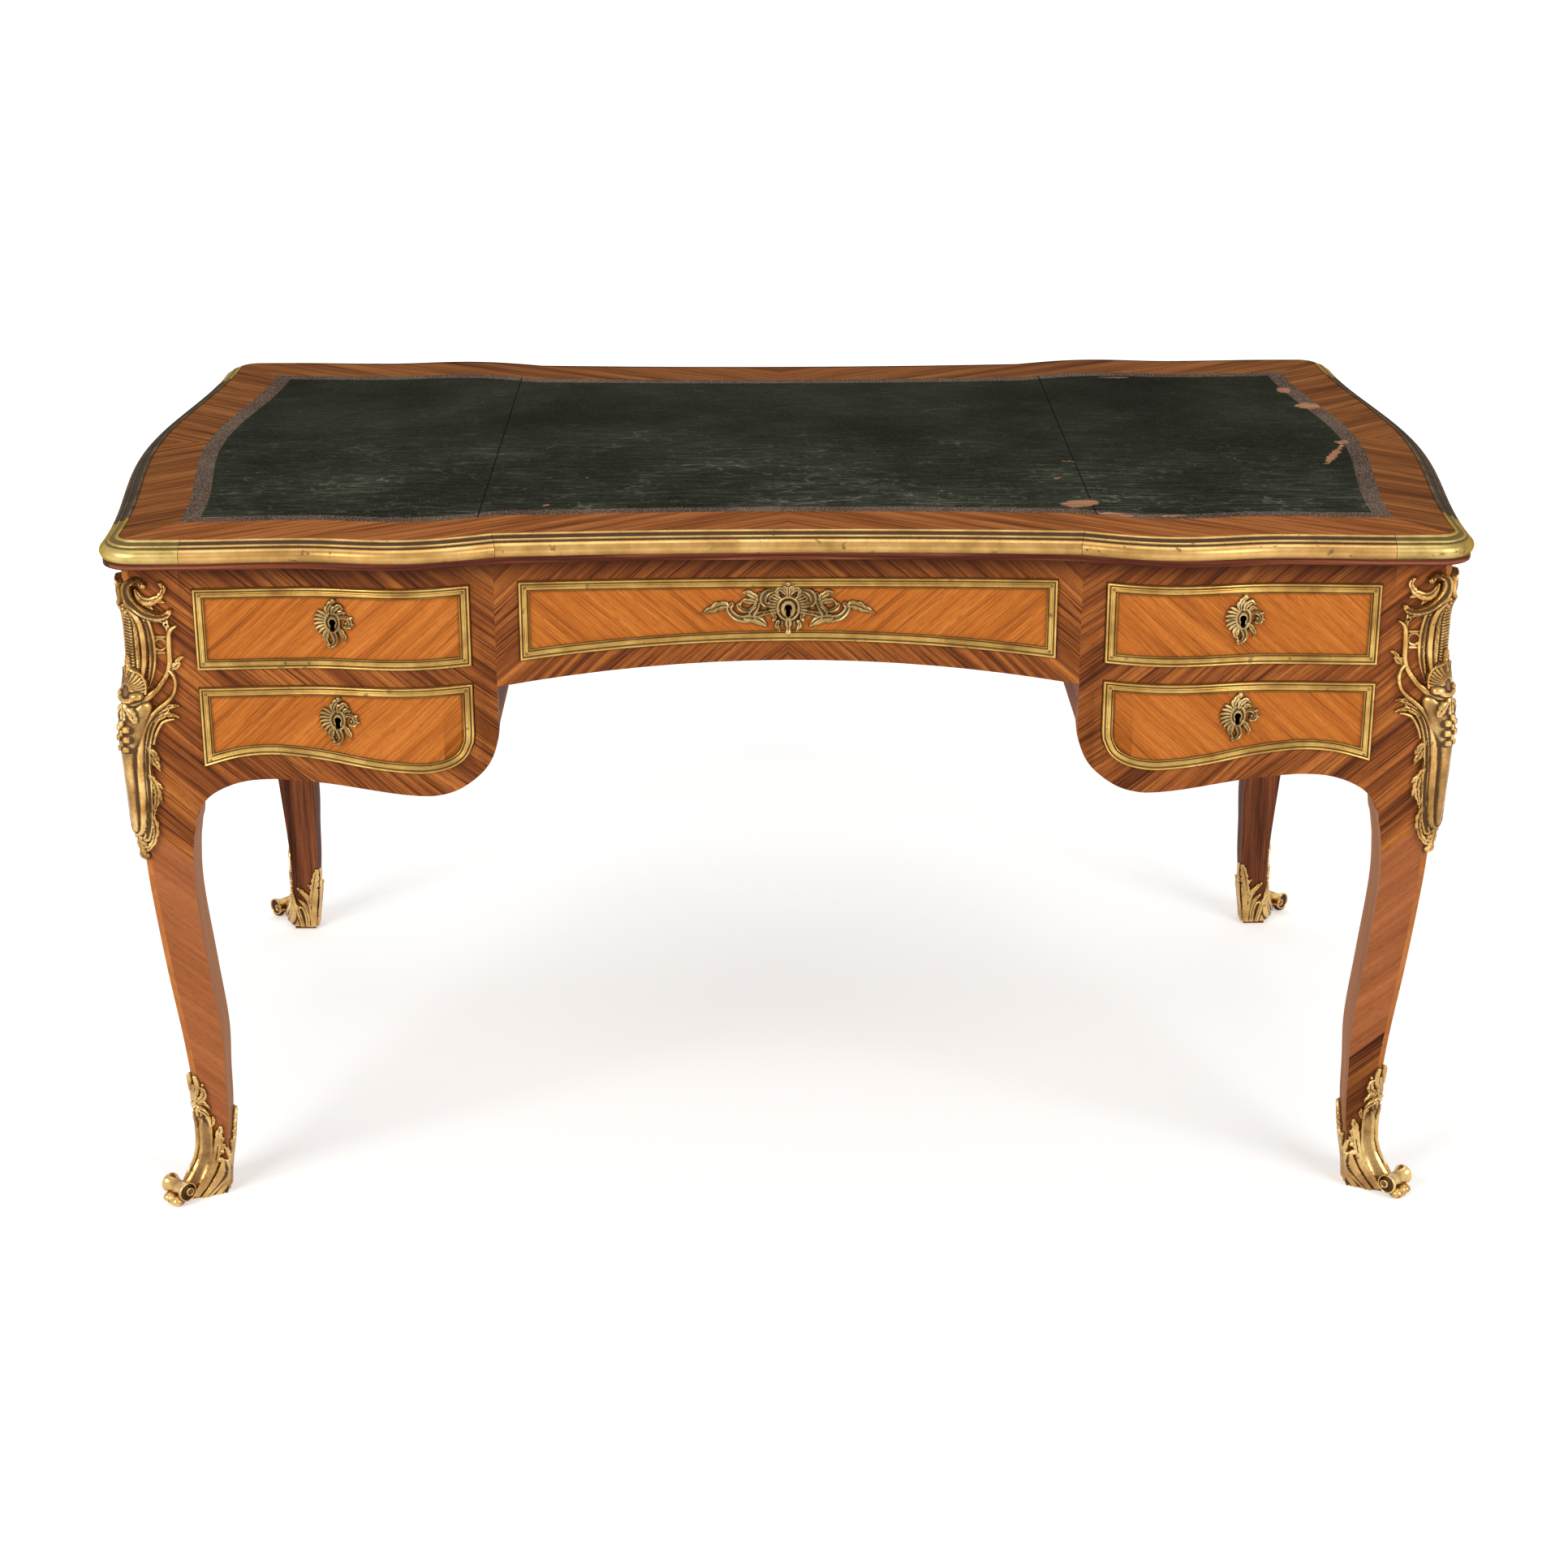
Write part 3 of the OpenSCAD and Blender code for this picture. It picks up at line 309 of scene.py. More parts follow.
def veneer(name, tones, streak, line, wave, contrast, dark_lines, pores, polish, coat=0.12, calm=(),
        painted_shade=(), shares=(0.34, 0.4, 0.26)):
    """Polished veneer. Bands, streaks, lines and pores are noise drawn out along the grain; streak and
    line are widths and wave the wander of the grain, all in millimetres; shares are the weights of
    bands, streaks and lines. The four tones run from dark to light. A calmer cut with tones of its own
    may take over between two places across the grain, and painted shade may darken the wood from one
    height up to another, where an overhang shades it."""
    tree, shader, made = material(name)
    laid = add(tree, "Attribute", attribute_name="grain").outputs["Vector"]
    loose = add(tree, "VectorMath", {0: laid, 1: (5, 16, 9)}, operation="MULTIPLY")
    wander = add(tree, "TexNoise", {"Vector": loose, "Scale": 1.0, "Detail": 2.0})
    shift = add(tree, "Math", {0: wander, 1: wave / 1000, 2: -wave / 2000},
        operation="MULTIPLY_ADD")
    shift = add(tree, "CombineXYZ", {1: shift})
    grain = add(tree, "VectorMath", {0: laid, 1: shift}, operation="ADD")
    values = []
    for width, length, detail in ((4 * streak, 90 * streak, 1.0), (streak, 30 * streak, 3.0),
            (line, 60 * line, 2.0), (0.25 * streak, 22 * streak, 1.0)):
        scale = (1000 / length, 1000 / width, 1000 / (4 * width))
        drawn = add(tree, "VectorMath", {0: grain, 1: scale}, operation="MULTIPLY")
        values.append(add(tree, "TexNoise", {"Vector": drawn, "Scale": 1.0, "Detail": detail}))
    figure = 0.0
    for value, share in zip(values, shares):
        figure = add(tree, "Math", {0: value, 1: share, 2: figure}, operation="MULTIPLY_ADD")
    spread = add(tree, "MapRange", {0: figure, 1: 0.5 - contrast, 2: 0.5 + contrast})
    dark, deep, middle, light = tones
    tone = add(tree, "ValToRGB", {0: spread}, [(0.0, dark), (0.32, deep), (0.6, middle), (1.0, light)])
    lined = add(tree, "MapRange", {0: values[3], 1: 0.585, 2: 0.655, 3: 0.0, 4: dark_lines})
    tone = add(tree, "Mix", {0: lined, 6: tone, 7: linear(dark)}, data_type="RGBA")
    if calm:
        start, stop, low, high = calm
        plain = add(tree, "MapRange", {0: figure, 1: 0.3, 2: 0.7})
        plain = add(tree, "Mix", {0: plain, 6: linear(low), 7: linear(high)}, data_type="RGBA")
        at = add(tree, "SeparateXYZ", {0: laid}).outputs[1]
        past = add(tree, "MapRange", {0: at, 1: start / 1000, 2: start / 1000 + 0.001, 4: 0.88})
        short = add(tree, "MapRange", {0: at, 1: stop / 1000, 2: stop / 1000 + 0.001, 3: 1.0, 4: 0.0})
        joint = add(tree, "Math", {0: past, 1: short}, operation="MULTIPLY")
        below = add(tree, "MapRange", {0: short, 1: 0.0, 2: 1.0, 3: 0.4, 4: 0.0})
        tone = add(tree, "Mix", {0: below, 6: tone, 7: linear(dark)}, data_type="RGBA")
        tone = add(tree, "Mix", {0: joint, 6: tone, 7: plain}, data_type="RGBA")
    ticks = add(tree, "VectorMath", {0: grain, 1: [1000 / size for size in PORE]}, operation="MULTIPLY")
    ticks = add(tree, "TexNoise", {"Vector": ticks, "Scale": 1.0, "Detail": 1.0})
    ticks = add(tree, "MapRange", {0: ticks, 1: 0.57, 2: 0.7, 3: 0.0, 4: pores})
    tone = add(tree, "Mix", {0: ticks, 6: tone, 7: linear(dark)}, data_type="RGBA")
    # Painted shade: from the start height up to the stop height the wood darkens towards its darkest tone,
    # for the shade under an overhang
    if painted_shade:
        start, stop, amount = painted_shade
        height = add(tree, "SeparateXYZ", {0: add(tree, "TexCoord").outputs["Object"]})
        soil_and_shade = add(tree, "MapRange", {0: height.outputs[2], 1: start / 1000, 2: stop / 1000, 3: 0.0,
            4: amount})
        tone = add(tree, "Mix", {0: soil_and_shade, 6: tone, 7: linear(dark)}, data_type="RGBA")
    rough = add(tree, "MapRange", {0: values[2], 1: 0.3, 2: 0.7, 3: polish + 0.08, 4: polish - 0.05})
    bump = add(tree, "Bump", {"Height": values[2], "Strength": 0.12, "Distance": 0.0006})
    wire(tree, shader, {"Base Color": tone, "Roughness": rough, "Normal": bump, "Specular IOR Level": 0.0,
        "Coat Weight": coat, "Coat Roughness": 0.2})
    return made


# Kingwood veneer under shellac: violet-brown streaks and thin dark lines on orange-brown, a soft shine;
# painted shade darkens it from 718 mm up, under the overhang of the top
KINGWOOD_TONES = ("#431f0e", "#7d421d", "#a15a29", "#c67a38")
kingwood = veneer("kingwood_veneer_shellac", KINGWOOD_TONES,
    streak=6, line=1.1, wave=14, contrast=0.14, dark_lines=0.8, pores=0.4, polish=0.36,
    painted_shade=(718, UNDER_Z, 0.75))
# The legs carry the same veneer down to a slanting joint, and a calmer cut of it below; on the right it
# ends at a second joint above the foot. Each joint is given by how far it lies across the grain.
CALM_FROM, CALM_TO = 120, {"left": 600, "right": 301}
leg_kingwood = {side: veneer(f"kingwood_veneer_of_{place}_legs", KINGWOOD_TONES,
    streak=6, line=1.1, wave=14, contrast=0.14, dark_lines=0.75, pores=0.35, polish=0.38,
    calm=(CALM_FROM, CALM_TO[place], "#96532f", "#c07547")) for place, side in (("left", -1), ("right", 1))}
# Plain polished hardwood, an even pale brown, inside the front legs
plain_wood = veneer("polished_hardwood", ("#8a5a3c", "#a9714c", "#b97f58", "#c58e66"),
    streak=10, line=1.6, wave=8, contrast=0.24, dark_lines=0.15, pores=0.2, polish=0.42)
# Kingwood of the inner faces of the back legs: darker, with its streaks upright
back_kingwood = veneer("kingwood_veneer_of_back_legs", ("#3b1d10", "#6b3b24", "#884d30", "#a0603c"),
    streak=7, line=1.3, wave=12, contrast=0.13, dark_lines=0.5, pores=0.35, polish=0.4)
# Slip of paler kingwood on the canted arris
arris_wood = veneer("kingwood_slip_of_arris", ("#8a4a20", "#b4682e", "#c97b3c", "#dc934e"),
    streak=12, line=1.5, wave=4, contrast=0.25, dark_lines=0, pores=0.2, polish=0.4)

stations = [(share * LEG_JOIN_Z, -drawn * ANKLE_IN, FOOT_W + (LEG_W - FOOT_W) * wide)
    for share, drawn, wide in LEG_SHARES] + [(UNDER_Z, 0, LEG_W)]
leg_z, leg_in, leg_wide = spline(stations, LEG_STEPS).T
leg_in = np.minimum(leg_in, 0)
leg_wide = np.minimum(leg_wide, LEG_W)
for place, side, front in CORNERS:
    x, y = LEG_X + leg_in, -LEG_Y - leg_in
    rings = np.stack([
        np.stack([x - leg_wide, x - ARRIS_W, x, x, x - leg_wide], -1),
        np.stack([y, y, y + ARRIS_W, y + leg_wide, y + leg_wide], -1),
        np.repeat(np.maximum(leg_z, SOLE_Z if front > 0 else 0)[:, None], 5, axis=1)], -1)
    rings = rings * [side, front, 1]
    rows = len(leg_z)
    paint = [0, 2, 0, 1, 1] * (rows - 1) + [1, 1]
    inside = plain_wood if front > 0 else back_kingwood
    leg = piece(f"leg_{place}_finished", rings.reshape(-1, 3), tube_faces(rows, 5),
        [leg_kingwood[side], inside, arris_wood], "carcase", "solid_hardwood", [f"leg_{place}"], paint)
    lay_grain(leg, VENEER_SLANT, seed=FRAME_SEEDS[side], upright=True)

# Frames, aprons and kneehole sides. Kingwood laid aslant on a softwood ground: over each pedestal the
# streaks fall towards the kneehole, over the centre they rise towards the middle, where they meet.
for node, side in (("front_frame_left", -1), ("front_frame_right", 1), ("back_frame", -1),
        ("end_apron_left", -1), ("end_apron_right", 1)):
    frame_piece = dressed(node, kingwood, "carcase", "kingwood_veneer")
    lay_grain(frame_piece, VENEER_SLANT, seed=FRAME_SEEDS[side])
middle_frame = dressed("front_frame_centre", kingwood, "carcase", "kingwood_veneer")
lay_grain(middle_frame, VENEER_SLANT, rising=-1, seed=0.9)
for side in ("left", "right"):
    lay_grain(dressed(f"kneehole_side_{side}", kingwood, "carcase", "kingwood_veneer"), slant=8, seed=0.5)

# Boards and runners inside the carcase, and the ground of the top. Oak, planed and left bare, with open
# pores; boards and runners are glued into the frames, and the drawers slide on them.
bare_oak = veneer("planed_oak", ("#6e4a28", "#9a7444", "#b48f5c", "#c4a273"),
    streak=14, line=1.2, wave=10, contrast=0.18, dark_lines=0.2, pores=0.6, polish=0.62, coat=0)
for node in ("drawer_boards_left", "drawer_boards_right", "centre_runners", "top_board"):
    lay_grain(dressed(node, bare_oak, "carcase", "bare_oak"), slant=90, seed=0.7)

# Drawers. Five oak boxes behind fronts veneered in satinwood, which is laid aslant: the streaks of the
# pedestal drawers rise towards the kneehole, those of the centre drawer fall towards the middle.
DRAWERS = ("upper_left", "lower_left", "centre", "upper_right", "lower_right")
# Satinwood under shellac: golden orange with short darker ticks and a silky sheen
satinwood = veneer("satinwood_veneer_shellac", ("#8e4c1b", "#b96626", "#c9732c", "#db863c"),
    streak=7, line=0.9, wave=8, contrast=0.14, dark_lines=0.15, pores=0.55, polish=0.34,
    shares=(0.12, 0.36, 0.52))
# Heights of the keyholes, and how far to the right of the middle they lie
KEY_Z = {"upper": 688, "lower": 579, "centre": 693}
KEY_X = {"left": -480, "right": 480, "": 0}
# Reach of a keyhole from the middle of its round part: sideways, downwards and upwards
KEY_REACH = 3.6, 10.8, 3.6
# Painted shade: wood and brass inside the keyholes coloured black, as the hole lies in deep shade
keyhole_shade_black = veneer("keyhole_walls_in_painted_shade", ("#050403", "#080605", "#0c0907", "#120d0a"),
    streak=4, line=0.8, wave=2, contrast=0.2, dark_lines=0, pores=0.2, polish=0.6, coat=0)


def paint_keyhole_shade(made, drawer, steepest):
    """Paints the shade inside a keyhole black: the faces whose middles lie within its reach, and that
    face forwards by no more than the steepest share."""
    kind, _, side = drawer.partition("_")
    mesh = made.data
    mesh.materials.append(keyhole_shade_black)
    middle, normal = np.zeros((2, len(mesh.polygons) * 3))
    mesh.polygons.foreach_get("center", middle)
    mesh.polygons.foreach_get("normal", normal)
    x, _, z = middle.reshape(-1, 3).T * 1000
    wide, low, high = KEY_REACH
    within = (np.abs(x - KEY_X[side]) < wide) & (z > KEY_Z[kind] - low) & (z < KEY_Z[kind] + high)
    steep = np.abs(normal.reshape(-1, 3)[:, 1]) < steepest
    mesh.polygons.foreach_set("material_index", (within & steep).astype(np.int32))


for drawer in DRAWERS:
    body = f"{drawer}_drawer"
    rising = 1 if drawer == "centre" else -1
    veneered = dressed(f"{drawer}_front", satinwood, body, "satinwood_veneer")
    # Painted shade: the walls of the keyhole through the front are coloured black
    paint_keyhole_shade(veneered, drawer, steepest=0.5)
    lay_grain(veneered, VENEER_SLANT, rising, seed=0.31 * DRAWERS.index(drawer))
    lay_grain(dressed(f"{drawer}_box", bare_oak, body, "bare_oak"), slant=0, seed=0.2)

# Mouldings. Drawn brass strips, mitred at the corners and pinned to the edge of each drawer front, to
# the blind fronts of the back and to the ends: two beads with reeding between them.

# Veneered edge of the top: the front at the corners, the ends, how far an end bows out and over what run
CORNER_Y, END_X, END_BOW, END_RUN = 421, 700, 29, 399
# Its centre in front: half its length, and how far its middle and its mitres lie behind the corners
CENTRE_HALF, CENTRE_BACK, MITRE_BACK = 311, 33, 21
# The swell and the hollow beside the centre, each by run and depth, and where the rise to the flare ends
SWELL_RUN, SWELL_OUT, HOLLOW_RUN, HOLLOW_IN, FLARE_X = 100, 4, 99, 6, 650
# How far the top stands out over the drawer fronts
OVERHANG = 2
# Inner and outer side of the pedestal drawers, and half the width of the centre drawer
PED_IN, PED_OUT, CENTRE_X = 336, 624, 285
# Heights of the upper drawer, and of the lower one, whose lower edge has a hollow, a belly and a heel
UP_TOP, UP_BOT, LOW_TOP, LOW_MID, BELLY_Z, HEEL_Z = 726, 637.5, 617, 541, 521, 529
# Lower edge of the centre drawer with the rise of its arch, and the height of the belly's round corner
CENTRE_BOT, CENTRE_RISE, BELLY_R = 639, 18, 40
# Half the depth of an end between its legs, and how far its moulding is set in from there
STILE_Y, END_MARGIN = 359, 24
# Longest step of a strip along its loop
MOULDING_STEP = 5
# Section of the strip: distance in from the edge of the front, height above the veneer
MOULDING = [(0, 0), (0, 2.6), (0.5, 3.5), (1.3, 3.8), (2.1, 3.3), (2.5, 2.2), (3.3, 1.9), (3.9, 2.7),
    (4.6, 3.0), (5.3, 2.5), (5.8, 3.1), (6.5, 3.3), (7.2, 2.7), (7.7, 3.0), (8.3, 2.9), (8.8, 1.7),
    (9.4, 2.0), (10, 3.2), (10.6, 2.6), (11, 1.3), (11, 0)]


def ease(t):
    """A blend from 0 to 1 that starts and ends level: half of one minus the cosine of t half turns."""
    return (1 - np.cos(np.pi * t)) / 2


def edge_y(x):
    """Distance of the veneered edge of the top in front of the middle plane: a parabola over the centre,
    a quarter sine up to the swell, an eased fall to the hollow, an eased rise to the straight flare."""
    a = np.abs(np.asarray(x, float))
    swell, hollow = CENTRE_HALF + SWELL_RUN, CENTRE_HALF + SWELL_RUN + HOLLOW_RUN
    return np.select(
        [a < CENTRE_HALF, a < swell, a < hollow, a < FLARE_X],
        [CORNER_Y - CENTRE_BACK + (CENTRE_BACK - MITRE_BACK) * (a / CENTRE_HALF) ** 2,
            CORNER_Y - MITRE_BACK
                + (MITRE_BACK + SWELL_OUT) * np.sin(np.pi / 2 * (a - CENTRE_HALF) / SWELL_RUN),
            CORNER_Y + SWELL_OUT - (SWELL_OUT + HOLLOW_IN) * ease((a - swell) / HOLLOW_RUN),
            CORNER_Y - HOLLOW_IN * (1 - ease((a - hollow) / (FLARE_X - hollow)))],
        CORNER_Y)


def end_edge(y):
    """Distance of the veneered edge of an end from the middle: the straight end plus its eased bow."""
    return END_X + END_BOW * ease(1 - np.minimum(np.abs(y) / END_RUN, 1))


def outward(loop):
    """Mitred outward steps of a counter-clockwise loop: the sum of the normals of the edges before and
    after each point, divided by one plus their dot product."""
    before = loop - np.roll(loop, 1, axis=0)
    after = np.roll(loop, -1, axis=0) - loop
    a, b = (np.stack([e[:, 1], -e[:, 0]], -1) / np.linalg.norm(e, axis=1)[:, None] for e in (before, after))
    return (a + b) / (1 + (a * b).sum(1, keepdims=True))


def strip_round(loop, to_space):
    """A moulding round a loop drawn in the plane of the front: each point of the section runs round the
    loop set in by its distance, every edge is cut into short steps, and to_space bends the result."""
    steps = np.maximum(1, np.ceil(np.linalg.norm(np.roll(loop, -1, axis=0) - loop, axis=1) / MOULDING_STEP))
    runs = []
    for inset, height in MOULDING:
        ring = loop - inset * outward(loop)
        ahead = np.roll(ring, -1, axis=0)
        dense = np.vstack([ring[i] + (ahead[i] - ring[i]) * (np.arange(n) / n)[:, None]
            for i, n in enumerate(steps)])
        runs.append(to_space(dense[:, 0], dense[:, 1], height))
    grid = np.stack(runs, 1)
    return grid.reshape(-1, 3), tube_faces(len(grid), len(MOULDING), joined=True)


def on_front(facing):
    """Places a drawing on the curved front, or on the back if facing is -1."""
    return lambda x, z, height: np.stack([x, -facing * (edge_y(x) - OVERHANG + height), z], -1)


def on_end(side):
    """Places a drawing on the bowed end of one side."""
    return lambda y, z, height: np.stack([side * (end_edge(y) - OVERHANG + height), y, z], -1)


drawer_w = PED_OUT - PED_IN
belly = [(0.003, 0.75), (0.031, 0.35), (0.087, 0.1), (0.167, 0), (0.25, 0.025)]
lower_edge = spline([(PED_IN + a * drawer_w, BELLY_Z + b * BELLY_R) for a, b in belly] + [
    (PED_IN + 0.41 * drawer_w, BELLY_Z + 0.3 * (LOW_MID - BELLY_Z)),
    (PED_IN + 0.6 * drawer_w, BELLY_Z + 0.75 * (LOW_MID - BELLY_Z)), (PED_IN + 0.75 * drawer_w, LOW_MID),
    (PED_IN + 0.875 * drawer_w, LOW_MID + 0.21 * (HEEL_Z - LOW_MID)), (PED_OUT, HEEL_Z)], 4)
arch_x = np.linspace(-CENTRE_X, CENTRE_X, 41)
arch = np.stack([arch_x, CENTRE_BOT + CENTRE_RISE * (1 - (arch_x / CENTRE_X) ** 2)], -1)
LOOPS = {
    "upper": np.array([(PED_IN, UP_BOT), (PED_OUT, UP_BOT), (PED_OUT, UP_TOP), (PED_IN, UP_TOP)], float),
    "lower": np.vstack([[(PED_IN, LOW_TOP), (PED_IN, BELLY_Z + BELLY_R)], lower_edge, [(PED_OUT, LOW_TOP)]]),
    "centre": np.vstack([arch, [(CENTRE_X, UP_TOP), (-CENTRE_X, UP_TOP)]]),
}


def mirrored(loop):
    """The loop of the other side, still counter-clockwise."""
    return loop[::-1] * [-1, 1]


# How many lie in a metre: clouds of patina 36 mm wide, grit of 2.4 mm and stains of 11 mm
CLOUDS, GRIT, STAINS = 28, 420, 95


def brass(name, bright, warm, dull, dark, patina, rough, glance="#ffffff"):
    """Old brass or gilt bronze. The patina attribute is 1 in the hollows, where dirt stays, and 0 on what
    hands have polished; on some pieces it is also raised or lowered all over as painted light. Cloudy
    noise breaks both up, and small spots stand for stains. Seen along the surface its reflections take
    the glance colour."""
    tree, shader, made = material(name)
    place = add(tree, "TexCoord").outputs["Object"]
    cloud = add(tree, "TexNoise", {"Vector": place, "Scale": CLOUDS, "Detail": 4.0, "Roughness": 0.6})
    grit = add(tree, "TexNoise", {"Vector": place, "Scale": GRIT, "Detail": 2.0})
    stain = add(tree, "TexNoise", {"Vector": place, "Scale": STAINS, "Detail": 2.0})
    tone = add(tree, "ValToRGB", {0: cloud}, [(0.32, dull), (0.5, warm), (0.66, bright)])
    hollow = add(tree, "Attribute", attribute_name="patina").outputs["Fac"]
    worn = add(tree, "Math", {0: grit, 1: 0.35, 2: -0.17}, operation="MULTIPLY_ADD")
    worn = add(tree, "Math", {0: hollow, 1: worn}, operation="ADD")
    dirt = add(tree, "MapRange", {0: worn, 1: 0.25, 2: 0.9, 3: 0.0, 4: patina})
    spots = add(tree, "MapRange", {0: stain, 1: 0.66, 2: 0.72, 3: 0.0, 4: 0.55})
    dirt = add(tree, "Math", {0: dirt, 1: spots}, operation="MAXIMUM")
    mixed = add(tree, "Mix", {0: dirt, 6: tone, 7: linear(dark)}, data_type="RGBA")
    bare = add(tree, "MapRange", {0: dirt, 1: 0.0, 2: 1.0, 3: 1.0, 4: 0.15})
    gloss = add(tree, "MapRange", {0: dirt, 1: 0.0, 2: 1.0, 3: rough, 4: rough + 0.35})
    bump = add(tree, "Bump", {"Height": grit, "Strength": 0.15, "Distance": 0.0004})
    wire(tree, shader, {"Base Color": mixed, "Metallic": bare, "Roughness": gloss, "Normal": bump,
        "Specular IOR Level": 0.2, "Specular Tint": linear(glance)})
    return made


# Pins in the corners of the mouldings and along their lower strips: radius and height of their heads,
# how far they stand in from the edges, and where they stand on the fronts
PIN = [(1.5, 1), (1.5, 3.3), (0.7, 3.7)]
PIN_SIDES, PIN_DIRT, PIN_IN = 12, 0.75, 7
PINS = {
    "upper": [(PED_IN + PIN_IN, UP_TOP - PIN_IN), (PED_OUT - PIN_IN, UP_TOP - PIN_IN),
        (PED_OUT - PIN_IN, UP_BOT + PIN_IN), (PED_IN + PIN_IN, UP_BOT + PIN_IN), (PED_OUT - 92, UP_BOT + 6)],
    "lower": [(PED_IN + PIN_IN, LOW_TOP - PIN_IN), (PED_OUT - PIN_IN, LOW_TOP - PIN_IN),
        (PED_OUT - PIN_IN, HEEL_Z + PIN_IN)],
    "centre": [(x, z) for x in (PIN_IN - CENTRE_X, CENTRE_X - PIN_IN)
        for z in (UP_TOP - PIN_IN, CENTRE_BOT + 7.6)],
}
# Drawn brass strip: greenish yellow, dull in its grooves
strip_brass = brass("drawn_brass_strip", "#d9b56a", "#c39c55", "#a47d43", "#4f3718", patina=0.85, rough=0.34)
# Heights of the section above which it is rubbed bright, and below which it is full of dirt
RUBBED_H, DIRTY_H = 2.8, 2.3
strip_height = np.array(MOULDING)[:, 1]
strip_dirt = np.where(strip_height > RUBBED_H, 0.0, np.where(strip_height > DIRTY_H, 0.55, 1.0))


def one_mesh(parts):
    """Closed parts, each given as its points and its faces, as the points and faces of one mesh."""
    starts = np.cumsum([0] + [len(points) for points, _ in parts]).tolist()
    faces = [[start + i for i in face] for start, (_, own) in zip(starts, parts) for face in own]
    return np.vstack([points for points, _ in parts]), faces


def moulding(name, strips, body, nodes, pins=()):
    """One piece made of strips round loops, with dirt in the grooves of the section, and the low round
    heads of its pins, given by where they stand on the front."""
    parts = [strip_round(loop, to_space) for loop, to_space in strips]
    dirt = [np.tile(strip_dirt, len(points) // len(MOULDING)) for points, _ in parts]
    turn = np.linspace(0, 2 * np.pi, PIN_SIDES, endpoint=False)
    radius, rise = np.array(PIN).T[..., None]
    for x, z in pins:
        head = on_front(1)(x + radius * np.cos(turn), z + radius * np.sin(turn), rise).reshape(-1, 3)
        parts.append((head, tube_faces(len(PIN), PIN_SIDES)))
        dirt.append(np.full(len(head), PIN_DIRT))
    return piece(name, *one_mesh(parts), strip_brass, body, "brass_rim", nodes, crease=28,
        dirt=np.concatenate(dirt))


for drawer in DRAWERS:
    kind = drawer.split("_")[0]
    loop = mirrored(LOOPS[kind]) if drawer.endswith("left") else LOOPS[kind]
    heads = [(x * (1 if drawer.endswith("right") else -1), z) for x, z in PINS[kind]]
    moulding(f"{drawer}_brass_moulding", [(loop, on_front(1))], f"{drawer}_drawer",
        [f"{drawer}_moulding"], heads)
# Height of the lower edge of an end's moulding in the middle
PANEL_MID_Z = 534.5
panel_y = STILE_Y - END_MARGIN
panel_low = [(-panel_y, HEEL_Z), (-panel_y / 2, LOW_MID), (0, PANEL_MID_Z), (panel_y / 2, LOW_MID),
    (panel_y, HEEL_Z)]
end_panel = np.vstack([spline(panel_low, 8), [(panel_y, UP_TOP), (-panel_y, UP_TOP)]])
blind = [(LOOPS["centre"], on_front(-1))] + [(end_panel, on_end(side)) for side in (-1, 1)]
pedestal = [LOOPS["upper"], LOOPS["lower"]]
blind += [(loop, on_front(-1)) for loop in pedestal + [mirrored(loop) for loop in pedestal]]
moulding("blind_brass_mouldings", blind, "carcase", ["blind_mouldings"])

# Locks. A brass case let into the back of each front, with a bolt of filed steel that the key lifts
# into a mortise in the rail above.
lock_brass = brass("lock_brass", "#c9a860", "#b8944f", "#94713a", "#4a3418", patina=0.7, rough=0.4)
lock_steel = brass("filed_steel", "#9a9a96", "#858581", "#6a6a66", "#35322e", patina=0.6, rough=0.42)
for drawer in DRAWERS:
    lock = dressed(f"{drawer}_lock", lock_brass, f"{drawer}_drawer", "lock_brass")
    # Painted shade: the lock case seen through the keyhole is coloured black there
    paint_keyhole_shade(lock, drawer, steepest=2)
    dressed(f"{drawer}_bolt", lock_steel, f"{drawer}_lock_bolt", "lock_steel")

# Escutcheons. Cast and chased gilt bronze plates pinned over the keyholes: a small shell with flames
# above and a scroll below on each pedestal drawer, a wide one with leafy wings on the centre drawer.

# Least height of a casting above the wood, and how far its back is let in
CAST_EDGE, CAST_BACK = 0.7, -0.3
# Depth below the blurred relief over which dirt goes from none to full, and the dirt at its height
DIRTY_DEPTH, LEVEL_DIRT = 0.55, 0.3
# Spacing of the points of the two reliefs, and patina that lies on all of them
SMALL_CELL, WIDE_CELL, ESCUTCHEON_AGE = 0.42, 0.5, 0.18

